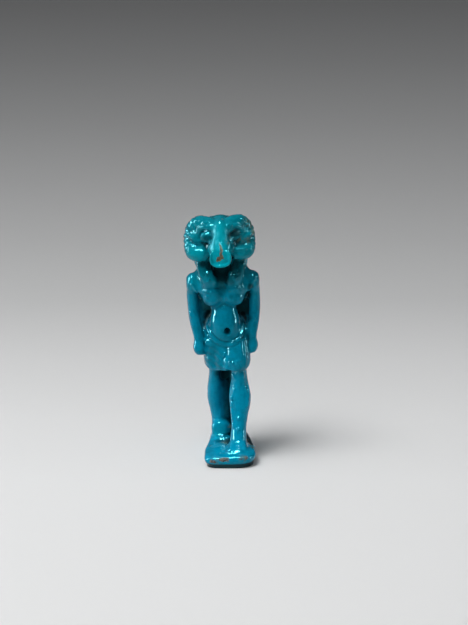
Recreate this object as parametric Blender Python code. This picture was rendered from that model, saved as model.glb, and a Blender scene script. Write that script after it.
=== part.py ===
"""A small glazed amulet of a striding god with a ram's head, made as one solid.

The figure stands on its own base against a back pillar that is pierced for a cord.
Run it with blender --background --python part.py, or from Blender's text editor.
"""

import math

import bmesh
import bpy
from mathutils import Matrix, Vector

# Sizes are in millimetres here, and become metres when the finished solid is placed.
MM = 0.001

# The figure keeps its proportions as shares of this height, sole to horn top.
FIGURE_HEIGHT = 42.9
# The forms below are written on a figure that is this many units tall.
DRAWN_UNITS = 42.9
# The whole amulet stands this many degrees out of true, towards the figure's right.
LEAN_DEG = 2.5

# Base slab, worked out from the feet by these margins.
BASE_THICKNESS = 1.5
FRONT_MARGIN = 1.5
BACK_MARGIN = 0.3
SIDE_MARGIN = 1.2
BASE_CORNER = 1.8
# The front corner on the figure's left is rounder, and the sides bend in from here back.
WORN_CORNER = 3.2
BASE_WAIST = -2.0
SIDE_BEND = 6.0
# The underside rolls in to a smaller flat foot.
FOOT_THICKNESS = 0.8
FOOT_INSET = 0.5

# Back pillar and the hole for a cord that runs through it from side to side.
PILLAR_WIDTH = 4.6
PILLAR_DEPTH = 2.2
PILLAR_TOP_SHARE = 0.79
HOLE_DIAMETER = 1.3
HOLE_BACK_WALL = 0.8
HOLE_HEIGHT_SHARE = 0.745

# The navel, as x and height above the sole, on the front of the belly.
NAVEL = (0.45, 21.2)
NAVEL_RADIUS = 0.65
BELLY_FRONT = -1.35

# How fine the clay is worked, and how far its joins are softened.
MASS_GRAIN = 0.30
MASS_SOFTENING = 7
FORM_GRAIN = 0.22
FORM_SOFTENING = 3
TRIANGLES = 9400

GLAZE_COLOUR = (0.0, 0.25, 0.36, 1.0)
GLAZE_ROUGHNESS = 0.18

SCALE = FIGURE_HEIGHT / DRAWN_UNITS
SIDES = (-1, 1)
# Where the rings of a rounded end lie, as shares of its reach.
DOME_STEPS = (0.4, 0.7, 0.9, 0.98)
# Steps round one corner of a slab, and the sides of the drill.
CORNER_STEPS = 6
DRILL_SIDES = 20
# Cutting shapes reach this many figure heights past what they cut.
OVERREACH = 1.0

# Where the back of the body meets the pillar, and the reach of the feet, in drawn units.
BODY_BACK = 5.7
TOE_TIP = -6.8
TOE_OUTER = 3.45
HEEL_OUTER = 1.95
# The figure's right horn, on the viewer's left, reaches out a little further.
HORN_REACH = {-1: 1.045, 1: 0.955}


# Clay forms: each adds one closed body to a mesh that is being gathered


def spline(points, steps):
    """Catmull-Rom points through a list of equal tuples, with steps between each two."""
    padded = [points[0], *points, points[-1]]
    smooth = []
    for a, b, c, d in zip(padded, padded[1:], padded[2:], padded[3:]):
        for step in range(steps):
            t = step / steps
            smooth.append(
                tuple(
                    0.5
                    * (
                        2 * q
                        + (r - p) * t
                        + (2 * p - 5 * q + 4 * r - s) * t * t
                        + (3 * q - p - 3 * r + s) * t**3
                    )
                    for p, q, r, s in zip(a, b, c, d)
                )
            )
    smooth.append(points[-1])
    return smooth


def skin(clay, rings):
    """Faces between neighbouring rings of vertices, and a fan over each end."""
    made = [[clay.verts.new(p * SCALE) for p in ring] for ring in rings]
    faces = []
    for lower, upper in zip(made, made[1:]):
        for k in range(len(lower)):
            n = (k + 1) % len(lower)
            faces.append(clay.faces.new((lower[k], lower[n], upper[n], upper[k])))
    for ring in (made[0], made[-1]):
        middle = sum((v.co for v in ring), Vector()) / len(ring)
        pole = clay.verts.new(middle)
        for k in range(len(ring)):
            faces.append(clay.faces.new((ring[k], ring[(k + 1) % len(ring)], pole)))
    bmesh.ops.recalc_face_normals(clay, faces=faces)


def oval(centre, across, along, half_across, half_along, squareness, sides=28):
    """Points round a superellipse: squareness 2 is an oval, and more is boxier."""
    points = []
    for k in range(sides):
        angle = 2 * math.pi * k / sides
        c, s = math.cos(angle), math.sin(angle)
        u = math.copysign(abs(c) ** (2 / squareness), c) * half_across
        v = math.copysign(abs(s) ** (2 / squareness), s) * half_along
        points.append(centre + across * u + along * v)
    return points


def rounded(sections, reach):
    """Sections with a dome of that reach added beyond both ends."""
    grown = list(sections)
    for end, inner in ((0, 1), (-1, -2)):
        last = sections[end]
        way = math.copysign(reach, last[0] - sections[inner][0])
        dome = [
            (last[0] + way * t, *last[1:3], *(size * math.sqrt(1 - t * t) for size in last[3:]))
            for t in DOME_STEPS
        ]
        grown = dome[::-1] + grown if end == 0 else grown + dome
    return grown


def stack(clay, axis, sections, squareness=2.0, steps=4, dome=0.0):
    """A body through oval sections at right angles to Z or Y.

    A section is (place on the axis, centre x, other centre, half width in x, other half size).
    """
    sections = spline(sections, steps)
    if dome:
        sections = rounded(sections, dome)
    across = Vector((1, 0, 0))
    along = Vector((0, 1, 0)) if axis == "Z" else Vector((0, 0, 1))
    rings = []
    for place, x, other, half_x, half_other in sections:
        centre = Vector((x, other, place)) if axis == "Z" else Vector((x, place, other))
        rings.append(oval(centre, across, along, half_x, half_other, squareness))
    skin(clay, rings)


def roll(clay, stations, steps=6, sides=20):
    """A round-ended roll of clay along a curve of (x, y, z, radius) stations."""
    stations = spline(stations, steps)
    centres = [Vector(s[:3]) for s in stations]
    radii = [s[3] for s in stations]
    tangents = [
        (centres[min(i + 1, len(centres) - 1)] - centres[max(i - 1, 0)]).normalized()
        for i in range(len(centres))
    ]
    ends = []
    for end, sign in ((0, -1), (-1, 1)):
        ends.append(
            [
                (
                    centres[end] + tangents[end] * sign * radii[end] * t,
                    radii[end] * math.sqrt(1 - t * t),
                    tangents[end],
                )
                for t in DOME_STEPS
            ]
        )
    ready = ends[0][::-1] + list(zip(centres, radii, tangents)) + ends[1]
    across = ready[0][2].orthogonal().normalized()
    rings = []
    for centre, radius, tangent in ready:
        across = (across - tangent * across.dot(tangent)).normalized()
        rings.append(oval(centre, across, tangent.cross(across), radius, radius, 2.0, sides))
    skin(clay, rings)


def ball(clay, centre, radii, turn=(0, 0, 0)):
    """An ellipsoid, turned by degrees about X, Y and Z in that order."""
    spin = Matrix.Identity(4)
    for axis, degrees in zip("XYZ", turn):
        spin = Matrix.Rotation(math.radians(degrees), 4, axis) @ spin
    place = Matrix.Translation(Vector(centre) * SCALE) @ spin
    place = place @ Matrix.Diagonal((*(r * SCALE for r in radii), 1.0))
    bmesh.ops.create_icosphere(clay, subdivisions=3, radius=1.0, matrix=place)


def mirrored(side, stations):
    """Stations with x on the given side of the figure."""
    return [(side * s[0], *s[1:]) for s in stations]


# The figure. x runs to the figure's left, y to its back, and z up from the sole


def torso(clay):
    """A wide chest that narrows in a V to the waist, and the round belly below."""
    stack(
        clay,
        "Z",
        [
            (33.0, 0, 3.8, 2.6, 1.4),
            (31.8, 0, 3.5, 4.6, 1.8),
            (30.6, 0, 3.0, 5.5, 2.4),
            (29.4, 0, 2.6, 5.2, 2.7),
            (27.9, 0, 2.4, 4.25, 2.75),
            (26.6, 0, 2.45, 3.15, 2.6),
            (25.2, -0.1, 2.6, 2.3, 2.35),
            (23.4, 0, 2.7, 2.4, 2.6),
            (21.6, 0.1, 2.6, 3.3, 3.0),
            (19.0, 0.15, 2.5, 3.9, 3.3),
        ],
        2.6,
    )
    for side in SIDES:
        ball(clay, (side * 2.15, 0.9, 27.6), (1.75, 1.6, 2.1), (0, side * 25, 0))
    ball(clay, (0.2, 1.3, 21.6), (2.65, 2.75, 2.6))


def web_between_arms(clay):
    """The wall behind the body that joins both arms to the pillar."""
    stack(
        clay,
        "Z",
        [
            (31.4, 0, 4.8, 4.6, 1.1),
            (29.0, 0, 4.8, 5.2, 1.2),
            (24.0, 0, 4.7, 5.1, 1.2),
            (20.0, 0, 4.5, 4.6, 1.2),
        ],
        4,
        dome=1.4,
    )


def arms(clay):
    for side in SIDES:
        ball(clay, (side * 5.1, 2.9, 30.5), (1.5, 1.7, 1.55))
        stack(
            clay,
            "Z",
            [
                (30.5, side * 5.35, 2.9, 1.25, 1.6),
                (28.6, side * 5.58, 2.95, 1.05, 1.5),
                (26.5, side * 5.62, 2.95, 1.0, 1.45),
                (24.5, side * 5.55, 2.8, 1.0, 1.4),
                (22.5, side * 5.35, 2.4, 1.0, 1.3),
                (20.8, side * 5.05, 2.0, 0.92, 1.15),
                (19.3, side * 4.85, 1.7, 0.84, 1.05),
                (18.0, side * 4.9, 1.5, 0.98, 1.15),
            ],
            dome=0.6,
        )


def fists(clay):
    """Closed hands that rest against the hips."""
    for side in SIDES:
        stack(
            clay,
            "Z",
            [
                (19.0, side * 4.85, 1.6, 0.82, 1.05),
                (18.1, side * 4.85, 1.35, 1.02, 1.4),
                (17.3, side * 4.7, 1.25, 1.02, 1.4),
                (16.9, side * 4.5, 1.25, 0.95, 1.25),
            ],
            2.5,
            dome=0.35,
        )


def hips(clay):
    """What the kilt hangs on."""
    stack(
        clay,
        "Z",
        [
            (22.6, 0.1, 2.9, 3.1, 2.6),
            (21.0, 0.1, 2.7, 3.7, 3.0),
            (18.5, 0.1, 2.5, 4.0, 3.2),
            (15.0, 0.1, 2.8, 3.6, 2.9),
        ],
        2.3,
    )


def kilt(clay):
    """Two pleated panels, one round each thigh, that end in a flat hem."""
    stack(
        clay,
        "Z",
        [
            (19.5, 1.8, 1.9, 2.2, 2.9),
            (17.0, 2.0, 1.4, 2.35, 3.35),
            (15.0, 2.05, 1.2, 2.35, 3.55),
            (13.9, 2.0, 1.2, 2.1, 3.4),
            (13.6, 1.95, 1.2, 1.9, 3.2),
        ],
        2.3,
    )
    stack(
        clay,
        "Z",
        [
            (19.5, -1.8, 2.5, 2.15, 2.8),
            (17.0, -1.85, 2.9, 2.25, 3.0),
            (15.0, -1.75, 3.1, 2.3, 3.1),
            (14.2, -1.6, 3.1, 2.15, 3.1),
            (13.85, -1.45, 3.1, 1.9, 3.0),
        ],
        2.3,
    )


def legs(clay):
    # The figure's left leg is set forward.
    stack(
        clay,
        "Z",
        [
            (17.0, 2.1, 1.2, 1.7, 2.4),
            (13.4, 2.2, 0.2, 1.45, 2.0),
            (11.2, 2.2, -0.4, 1.65, 1.9),
            (9.2, 2.2, -0.7, 2.0, 1.9),
            (7.4, 2.15, -0.7, 1.9, 1.9),
            (5.6, 1.95, -0.8, 1.6, 1.7),
            (3.8, 1.8, -1.0, 1.35, 1.5),
            (1.8, 1.6, -1.4, 1.4, 1.7),
            (0.4, 1.5, -1.8, 1.5, 2.0),
        ],
    )
    stack(
        clay,
        "Z",
        [
            (17.0, -2.0, 4.0, 1.5, 2.3),
            (13.0, -1.9, 4.4, 1.3, 1.9),
            (11.2, -2.0, 4.6, 1.4, 1.9),
            (9.2, -2.15, 4.7, 1.6, 1.9),
            (7.0, -2.15, 4.8, 1.65, 1.8),
            (5.0, -1.95, 4.9, 1.5, 1.6),
            (3.4, -1.75, 5.0, 1.5, 1.6),
            (1.8, -1.65, 4.9, 1.6, 1.9),
            (0.4, -1.65, 4.7, 1.65, 2.3),
        ],
    )


def web_between_legs(clay):
    """The wall that joins the forward leg to the pillar, and where it runs into the rear foot."""
    stack(
        clay,
        "Z",
        [(16, 1.9, 3.4, 1.0, 3.0), (8, 1.8, 3.4, 0.9, 3.2), (0, 1.7, 3.0, 0.9, 3.4)],
        4,
    )
    ball(clay, (-0.6, 4.8, 1.6), (1.6, 1.7, 2.0))


def feet(clay):
    stack(
        clay,
        "Y",
        [
            (-0.2, 1.6, 1.2, 1.3, 1.4),
            (-1.6, 1.55, 1.6, 1.4, 1.9),
            (-2.8, 1.5, 1.35, 1.5, 1.75),
            (-4.0, 1.4, 0.9, 1.65, 1.3),
            (-5.2, 1.35, 0.5, 1.8, 0.95),
            (TOE_TIP + 0.7, 1.3, 0.3, 1.85, 0.8),
        ],
        2.5,
        dome=0.7,
    )
    stack(
        clay,
        "Y",
        [
            (6.9, -1.7, 0.9, 1.3, 1.2),
            (5.6, -1.75, 1.4, 1.5, 1.7),
            (4.4, -1.7, 1.2, 1.55, 1.75),
            (3.2, -1.7, 0.55, 1.55, 1.1),
            (2.5, -1.7, 0.3, 1.5, 0.85),
        ],
        2.5,
        dome=0.6,
    )


def neck_and_wig(clay):
    stack(clay, "Z", [(36, 0, 2.9, 1.9, 1.9), (33.5, 0, 2.9, 1.8, 1.8), (30, 0, 2.6, 2.6, 1.8)])
    stack(
        clay,
        "Z",
        [
            (40.8, -0.1, 3.9, 2.6, 2.0),
            (39.4, -0.1, 3.8, 3.8, 2.8),
            (37.0, -0.1, 3.6, 4.5, 3.0),
            (34.8, -0.15, 3.6, 4.85, 2.5),
            (33.2, -0.15, 3.6, 4.85, 2.2),
            (31.6, -0.05, 3.9, 4.3, 1.9),
            (30.4, 0, 4.3, 3.6, 1.6),
        ],
        2.5,
        dome=0.6,
    )


def lappets(clay):
    """The two tails of the wig that fall in front of the shoulders."""
    for side in SIDES:
        stack(
            clay,
            "Z",
            [
                (35.2, side * 3.35 - 0.1, 1.6, 1.5, 1.5),
                (33.4, side * 3.1 - 0.1, 1.0, 1.5, 1.5),
                (31.6, side * 2.75 - 0.1, 0.3, 1.45, 1.4),
                (30.2, side * 2.5, -0.1, 1.4, 1.2),
                (29.6, side * 2.45, -0.15, 1.3, 1.1),
            ],
            3.4,
            dome=0.55,
        )


def skull_and_muzzle(clay):
    ball(clay, (0, 2.2, 38.4), (3.4, 3.4, 3.6))
    roll(clay, [(0, -0.4, 40.75, 1.55), (-0.1, 1.4, 40.6, 1.7), (-0.1, 3.4, 40.0, 1.7)])
    stack(
        clay,
        "Y",
        [
            (2.2, 0, 39.3, 2.4, 2.8),
            (0.6, 0, 39.1, 2.0, 2.9),
            (-0.8, 0.05, 38.7, 1.55, 2.95),
            (-2.2, 0, 38.0, 1.55, 2.75),
            (-3.6, -0.1, 37.0, 1.85, 2.45),
            (-4.8, -0.12, 36.35, 2.05, 2.1),
            (-5.5, -0.12, 36.05, 2.1, 1.9),
        ],
        2.4,
        dome=0.5,
    )
    for side in SIDES:
        ball(clay, (side * 1.8, 0.9, 36.6), (1.6, 2.6, 2.1))
        ball(clay, (side * 3.6, 1.5, 38.3), (1.9, 1.9, 2.5))


def horns(clay):
    """Thick ram's horns that curl out, down and forward round the ears to blunt tips."""
    for side in SIDES:
        reach = HORN_REACH[side]
        roll(
            clay,
            mirrored(
                side * reach,
                [
                    (1.3, -0.3, 40.9, 1.0),
                    (2.4, 0.6, 40.95, 1.25),
                    (3.65, 1.5, 40.65, 1.4),
                    (4.5, 2.1, 39.75, 1.4),
                    (4.92, 2.3, 38.4, 1.42),
                    (5.0, 1.8, 37.0, 1.45),
                    (4.75, 0.7, 35.95, 1.45),
                    (4.1, -0.1, 35.6, 1.42),
                    (3.35, -0.55, 35.6, 1.35),
                ],
            ),
        )


def ears(clay):
    """Leaf-shaped ears that lie outwards in front of the horns."""
    for side in SIDES:
        ball(clay, (side * 4.65, 0.2, 38.2), (1.65, 0.85, 0.75), (0, side * 2, side * 25))


def brows_and_eyes(clay):
    for side in SIDES:
        roll(
            clay,
            mirrored(
                side,
                [
                    (1.45, -1.75, 39.35, 0.28),
                    (1.75, -1.65, 40.1, 0.42),
                    (2.5, -1.35, 40.5, 0.5),
                    (3.35, -0.75, 40.1, 0.48),
                    (3.85, -0.35, 39.2, 0.4),
                    (3.9, -0.2, 38.4, 0.32),
                ],
            ),
        )
        ball(clay, (side * 2.6 + 0.08, -0.8, 38.98), (1.15, 1.0, 0.85), (0, side * 8, side * 25))


def belt(clay):
    """The rolled top of the kilt, which dips under the belly."""
    roll(
        clay,
        [
            (-3.6, 2.6, 22.2, 0.35),
            (-3.2, 0.8, 21.6, 0.4),
            (-2.5, -0.2, 20.2, 0.45),
            (-1.2, -0.95, 19.15, 0.48),
            (0.3, -1.2, 18.85, 0.5),
            (1.8, -0.95, 19.15, 0.48),
            (2.9, -0.2, 20.1, 0.45),
            (3.5, 0.8, 21.3, 0.4),
            (3.8, 2.6, 22.0, 0.35),
        ],
    )


def apron(clay):
    """The pleated tab that hangs in front of the kilt."""
    stack(
        clay,
        "Z",
        [
            (18.4, 0.6, -0.6, 0.8, 0.6),
            (17.0, 0.8, -1.3, 1.15, 0.75),
            (15.6, 0.95, -1.85, 1.6, 0.8),
            (14.8, 1.0, -2.05, 1.7, 0.75),
        ],
        2.3,
        dome=0.5,
    )


# The base, the pillar and what is cut


def base_outline(inset):
    """Corners of the base as (x, y, rounding): near even at the front, narrower behind."""
    front = TOE_TIP * SCALE - FRONT_MARGIN + inset
    back = BODY_BACK * SCALE + PILLAR_DEPTH + BACK_MARGIN - inset
    half_front = TOE_OUTER * SCALE + SIDE_MARGIN - inset
    half_back = HEEL_OUTER * SCALE + SIDE_MARGIN - inset
    return [
        (-half_front, front, BASE_CORNER),
        (half_front, front, WORN_CORNER),
        (half_front, BASE_WAIST, SIDE_BEND),
        (half_back, back, BASE_CORNER),
        (-half_back, back, BASE_CORNER),
        (-half_front, BASE_WAIST, SIDE_BEND),
    ]


def slab(clay, outline, low, high):
    """A flat slab with rounded corners between two heights."""
    count = len(outline)
    points = []
    for i, (x, y, rounding) in enumerate(outline):
        here = Vector((x, y))
        before = (Vector(outline[i - 1][:2]) - here).normalized()
        after = (Vector(outline[(i + 1) % count][:2]) - here).normalized()
        half = before.angle(after) / 2
        middle = here + (before + after).normalized() * rounding / math.sin(half)
        start = here + before * rounding / math.tan(half) - middle
        finish = here + after * rounding / math.tan(half) - middle
        sweep = start.angle_signed(finish)
        points += [
            middle + Matrix.Rotation(-sweep * step / CORNER_STEPS, 2) @ start
            for step in range(CORNER_STEPS + 1)
        ]
    loops = [[clay.verts.new((p.x, p.y, z)) for p in points] for z in (low, high)]
    faces = [clay.faces.new(loops[0]), clay.faces.new(loops[1])]
    for k in range(len(points)):
        n = (k + 1) % len(points)
        faces.append(clay.faces.new((loops[0][k], loops[0][n], loops[1][n], loops[1][k])))
    bmesh.ops.recalc_face_normals(clay, faces=faces)


def block(clay, low, high):
    """A plain box between two corners."""
    low, high = Vector(low), Vector(high)
    place = Matrix.Translation((low + high) / 2) @ Matrix.Diagonal((*(high - low), 1))
    bmesh.ops.create_cube(clay, size=1, matrix=place)


def pillar(clay):
    back = BODY_BACK * SCALE
    block(
        clay,
        (-PILLAR_WIDTH / 2, back - 1.0, -BASE_THICKNESS / 2),
        (PILLAR_WIDTH / 2, back + PILLAR_DEPTH, PILLAR_TOP_SHARE * FIGURE_HEIGHT),
    )


# Working the clay


def clay_object(name, clay):
    mesh = bpy.data.meshes.new(name)
    clay.to_mesh(mesh)
    clay.free()
    made = bpy.data.objects.new(name, mesh)
    bpy.context.scene.collection.objects.link(made)
    return made


def set_modifiers(thing):
    """Applies what is on an object's modifier stack to its mesh."""
    graph = bpy.context.evaluated_depsgraph_get()
    mesh = bpy.data.meshes.new_from_object(thing.evaluated_get(graph))
    thing.modifiers.clear()
    thing.data = mesh


def fuse(thing, grain, softening):
    """Unites overlapping clay bodies into one skin and softens it."""
    remesh = thing.modifiers.new("fuse", "REMESH")
    remesh.mode = "VOXEL"
    remesh.voxel_size = grain
    soften = thing.modifiers.new("soften", "SMOOTH")
    soften.factor = 0.5
    soften.iterations = softening
    set_modifiers(thing)


def cut(thing, cutter, name):
    """Takes one closed shape away from another."""
    tool = clay_object(name, cutter)
    boolean = thing.modifiers.new(name, "BOOLEAN")
    boolean.operation = "DIFFERENCE"
    boolean.solver = "EXACT"
    boolean.object = tool
    set_modifiers(thing)
    bpy.data.objects.remove(tool)


def model_masses():
    clay = bmesh.new()
    for form in (torso, web_between_arms, arms, hips, legs, feet, web_between_legs):
        form(clay)
    for form in (neck_and_wig, skull_and_muzzle):
        form(clay)
    masses = clay_object("masses", clay)
    fuse(masses, MASS_GRAIN, MASS_SOFTENING)
    return masses


def model_forms(masses):
    clay = bmesh.new()
    clay.from_mesh(masses.data)
    bpy.data.objects.remove(masses)
    for form in (fists, lappets, horns, ears, brows_and_eyes, kilt, belt, apron, pillar):
        form(clay)
    slab(clay, base_outline(0), -BASE_THICKNESS, 0)
    foot_top = -BASE_THICKNESS / 2
    foot_low = -BASE_THICKNESS - 2 * FOOT_THICKNESS
    slab(clay, base_outline(FOOT_INSET), foot_low, foot_top)
    figure = clay_object("khnum_amulet", clay)
    fuse(figure, FORM_GRAIN, FORM_SOFTENING)
    return figure


def lean(figure):
    """Tips the whole amulet and sets its sole at the height of the base."""
    tip = Matrix.Rotation(math.radians(-LEAN_DEG), 4, "Y")
    figure.data.transform(Matrix.Translation((0, 0, BASE_THICKNESS + FOOT_THICKNESS)) @ tip)


def thin_out(figure):
    """Brings the skin down to the triangles that its shape needs."""
    figure.data.calc_loop_triangles()
    decimate = figure.modifiers.new("thin", "DECIMATE")
    decimate.ratio = min(1.0, TRIANGLES / len(figure.data.loop_triangles))
    set_modifiers(figure)


def cut_flat(figure):
    under = bmesh.new()
    reach = OVERREACH * FIGURE_HEIGHT
    block(under, (-reach, -reach, -reach), (reach, reach, 0))
    cut(figure, under, "ground")


def drill_hole(figure):
    """Drills the cord's hole through the pillar behind the neck."""
    drill = bmesh.new()
    back = BODY_BACK * SCALE + PILLAR_DEPTH
    y = back - HOLE_BACK_WALL - HOLE_DIAMETER / 2
    z = HOLE_HEIGHT_SHARE * FIGURE_HEIGHT
    place = Matrix.Translation((0, y, z)) @ Matrix.Rotation(math.pi / 2, 4, "Y")
    bmesh.ops.create_cone(
        drill,
        cap_ends=True,
        segments=DRILL_SIDES,
        radius1=HOLE_DIAMETER / 2,
        radius2=HOLE_DIAMETER / 2,
        depth=OVERREACH * FIGURE_HEIGHT,
        matrix=place,
    )
    cut(figure, drill, "drill")


def hollow_navel(figure):
    """Presses a round hollow into the front of the belly."""
    x, z = NAVEL
    press = bmesh.new()
    ball(press, (x, BELLY_FRONT, z), (NAVEL_RADIUS,) * 3)
    cut(figure, press, "navel")


def glaze():
    material = bpy.data.materials.new("turquoise glaze")
    material.use_nodes = True
    shader = material.node_tree.nodes["Principled BSDF"]
    shader.inputs["Base Color"].default_value = GLAZE_COLOUR
    shader.inputs["Roughness"].default_value = GLAZE_ROUGHNESS
    return material


def main():
    for thing in list(bpy.data.objects):
        bpy.data.objects.remove(thing)
    figure = model_forms(model_masses())
    thin_out(figure)
    drill_hole(figure)
    hollow_navel(figure)
    lean(figure)
    cut_flat(figure)
    figure.data.transform(Matrix.Scale(MM, 4))
    figure.data.materials.clear()
    figure.data.materials.append(glaze())
    figure.data.shade_smooth()
    return figure


main()
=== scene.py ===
# %% [markdown]
# # A small glazed amulet of a ram-headed god
#
# The real object is about 45 mm tall. Its figure, base and back pillar were moulded in one piece
# from faience, a paste of ground quartz, and fired with a glassy turquoise glaze. This lesson
# models it as a potter would: closed lumps of clay are pressed together, their joins are
# softened, fine lines are pressed in with tools, and the glaze goes on last.

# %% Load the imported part
import math

import bmesh
import bpy
import numpy as np
from mathutils import Matrix, Vector
from mathutils.bvhtree import BVHTree


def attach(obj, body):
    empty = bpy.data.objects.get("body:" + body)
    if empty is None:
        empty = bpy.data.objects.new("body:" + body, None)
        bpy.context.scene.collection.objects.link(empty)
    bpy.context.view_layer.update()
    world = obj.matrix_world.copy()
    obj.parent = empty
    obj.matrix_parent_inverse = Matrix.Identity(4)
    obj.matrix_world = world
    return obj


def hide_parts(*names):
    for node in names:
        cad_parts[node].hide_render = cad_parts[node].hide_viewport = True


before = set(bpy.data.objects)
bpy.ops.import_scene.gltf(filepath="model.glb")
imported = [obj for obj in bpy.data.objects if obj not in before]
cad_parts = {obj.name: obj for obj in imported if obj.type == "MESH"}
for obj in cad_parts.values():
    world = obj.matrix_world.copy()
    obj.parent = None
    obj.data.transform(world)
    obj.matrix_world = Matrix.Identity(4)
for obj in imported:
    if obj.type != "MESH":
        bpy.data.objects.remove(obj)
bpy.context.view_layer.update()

# The figure is drawn in millimetres and becomes metres at the very end.
MM = 0.001

# %% [markdown]
# ## The camera
#
# The camera is placed first, because later cells look through it. The photograph looks down on
# the amulet by about 15 degrees from far away. A long lens half a metre off gives the same
# nearly parallel view. Blender can aim a camera with a constraint, but here its place is worked
# out from the pixel where the middle of the underside is seen, so both pictures line up.

# %% Camera
PICTURE = Vector((468, 625))
PIXELS_PER_MM = 5.5
FOOT_PIXEL = Vector((230, 454.8))
LOOKS_DOWN = math.radians(15)
CAMERA_DISTANCE = 500
SENSOR = 36

right = Vector((1, 0, 0))
up = Vector((0, math.sin(LOOKS_DOWN), math.cos(LOOKS_DOWN)))
back = Vector((0, -math.cos(LOOKS_DOWN), math.sin(LOOKS_DOWN)))


def in_picture_plane(pixel):
    """The point in millimetres behind a pixel, in the plane through the foot that faces the camera."""
    off = (Vector(pixel) - FOOT_PIXEL) / PIXELS_PER_MM
    return right * off.x - up * off.y


def placed(name, data):
    """A new object in the scene."""
    made = bpy.data.objects.new(name, data)
    bpy.context.scene.collection.objects.link(made)
    return made


aim = in_picture_plane(PICTURE / 2)
eye = aim + back * CAMERA_DISTANCE
camera = placed("camera", bpy.data.cameras.new("camera"))
camera.location = eye * MM
camera.rotation_euler = back.to_track_quat("Z", "Y").to_euler()
camera.data.clip_start = 0.01
camera.data.sensor_width = SENSOR
camera.data.lens = SENSOR * CAMERA_DISTANCE * PIXELS_PER_MM / PICTURE.y
bpy.context.scene.camera = camera
print("Lens:", round(camera.data.lens), "mm")

# %% [markdown]
# ## Lumps of clay
#
# Every form starts as one simple closed body: a stack of oval sections, a round roll along a
# curve, or a ball. Sculpting by hand would also work, but numbers can be checked and changed.
# A Catmull-Rom curve runs through the given sections, so a few of them make a smooth body.

# %% Stacks, rolls and balls
SIDES = (-1, 1)
DOME_STEPS = (0.4, 0.7, 0.9, 0.98)


def between(p, q, r, s, t):
    """The Catmull-Rom value from q to r, where t goes from 0 to 1."""
    curve = (2 * p - 5 * q + 4 * r - s) * t * t
    return 0.5 * (2 * q + (r - p) * t + curve + (3 * q - p - 3 * r + s) * t**3)


def spline(points, steps):
    """Catmull-Rom points through a list of equal tuples, with steps between each two."""
    padded = [points[0], *points, points[-1]]
    smooth = []
    for four in zip(padded, padded[1:], padded[2:], padded[3:]):
        for step in range(steps):
            smooth.append(tuple(between(*values, step / steps) for values in zip(*four)))
    smooth.append(points[-1])
    return smooth


def skin(clay, rings):
    """Faces between neighbouring rings of vertices, and a fan over each end."""
    made = [[clay.verts.new(p) for p in ring] for ring in rings]
    faces = []
    for lower, upper in zip(made, made[1:]):
        for k in range(len(lower)):
            n = (k + 1) % len(lower)
            faces.append(clay.faces.new((lower[k], lower[n], upper[n], upper[k])))
    for ring in (made[0], made[-1]):
        pole = clay.verts.new(sum((v.co for v in ring), Vector()) / len(ring))
        for k in range(len(ring)):
            faces.append(clay.faces.new((ring[k], ring[(k + 1) % len(ring)], pole)))
    bmesh.ops.recalc_face_normals(clay, faces=faces)


def oval(centre, across, along, half_across, half_along, squareness, sides=40):
    """Points round a superellipse: squareness 2 is an oval, and more is boxier."""
    points = []
    for k in range(sides):
        angle = 2 * math.pi * k / sides
        c, s = math.cos(angle), math.sin(angle)
        u = math.copysign(abs(c) ** (2 / squareness), c) * half_across
        v = math.copysign(abs(s) ** (2 / squareness), s) * half_along
        points.append(centre + across * u + along * v)
    return points


def stack(clay, axis, sections, squareness=2.0, dome=0.0, steps=8):
    """A body through oval sections at right angles to Z or Y.

    A section is (place on the axis, centre x, other centre, half width in x, other half size).
    """
    sections = spline(sections, steps)
    if dome:
        lead, tail = sections[0], sections[-1]
        for end, inner in ((lead, sections[1]), (tail, sections[-2])):
            way = math.copysign(dome, end[0] - inner[0])
            cap = [
                (end[0] + way * t, *end[1:3], *(size * math.sqrt(1 - t * t) for size in end[3:]))
                for t in DOME_STEPS
            ]
            sections = cap[::-1] + sections if end is lead else sections + cap
    across = Vector((1, 0, 0))
    along = Vector((0, 1, 0)) if axis == "Z" else Vector((0, 0, 1))
    rings = []
    for place, x, other, half_x, half_other in sections:
        centre = Vector((x, other, place)) if axis == "Z" else Vector((x, place, other))
        rings.append(oval(centre, across, along, half_x, half_other, squareness))
    skin(clay, rings)


def roll(clay, stations, steps=10, sides=24):
    """A round-ended roll of clay along a curve of (x, y, z, radius) stations."""
    stations = spline(stations, steps)
    centres = [Vector(s[:3]) for s in stations]
    radii = [s[3] for s in stations]
    tangents = [
        (centres[min(i + 1, len(centres) - 1)] - centres[max(i - 1, 0)]).normalized()
        for i in range(len(centres))
    ]
    caps = []
    for end, sign in ((0, -1), (-1, 1)):
        cap = []
        for t in DOME_STEPS:
            centre = centres[end] + tangents[end] * sign * radii[end] * t
            cap.append((centre, radii[end] * math.sqrt(1 - t * t), tangents[end]))
        caps.append(cap)
    ready = caps[0][::-1] + list(zip(centres, radii, tangents)) + caps[1]
    across = ready[0][2].orthogonal().normalized()
    rings = []
    for centre, radius, tangent in ready:
        across = (across - tangent * across.dot(tangent)).normalized()
        rings.append(oval(centre, across, tangent.cross(across), radius, radius, 2.0, sides))
    skin(clay, rings)


def ball(clay, centre, radii, turn=(0, 0, 0)):
    """An ellipsoid, turned by degrees about X, Y and Z in that order."""
    spin = Matrix.Identity(4)
    for axis, degrees in zip("XYZ", turn):
        spin = Matrix.Rotation(math.radians(degrees), 4, axis) @ spin
    place = Matrix.Translation(centre) @ spin @ Matrix.Diagonal((*radii, 1.0))
    bmesh.ops.create_icosphere(clay, subdivisions=4, radius=1.0, matrix=place)


def mirrored(side, stations):
    """Stations with x on the given side of the figure."""
    return [(side * s[0], *s[1:]) for s in stations]


def surface(thing):
    """A mesh that rays can be cast at."""
    return BVHTree.FromObject(thing, bpy.context.evaluated_depsgraph_get())


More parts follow.
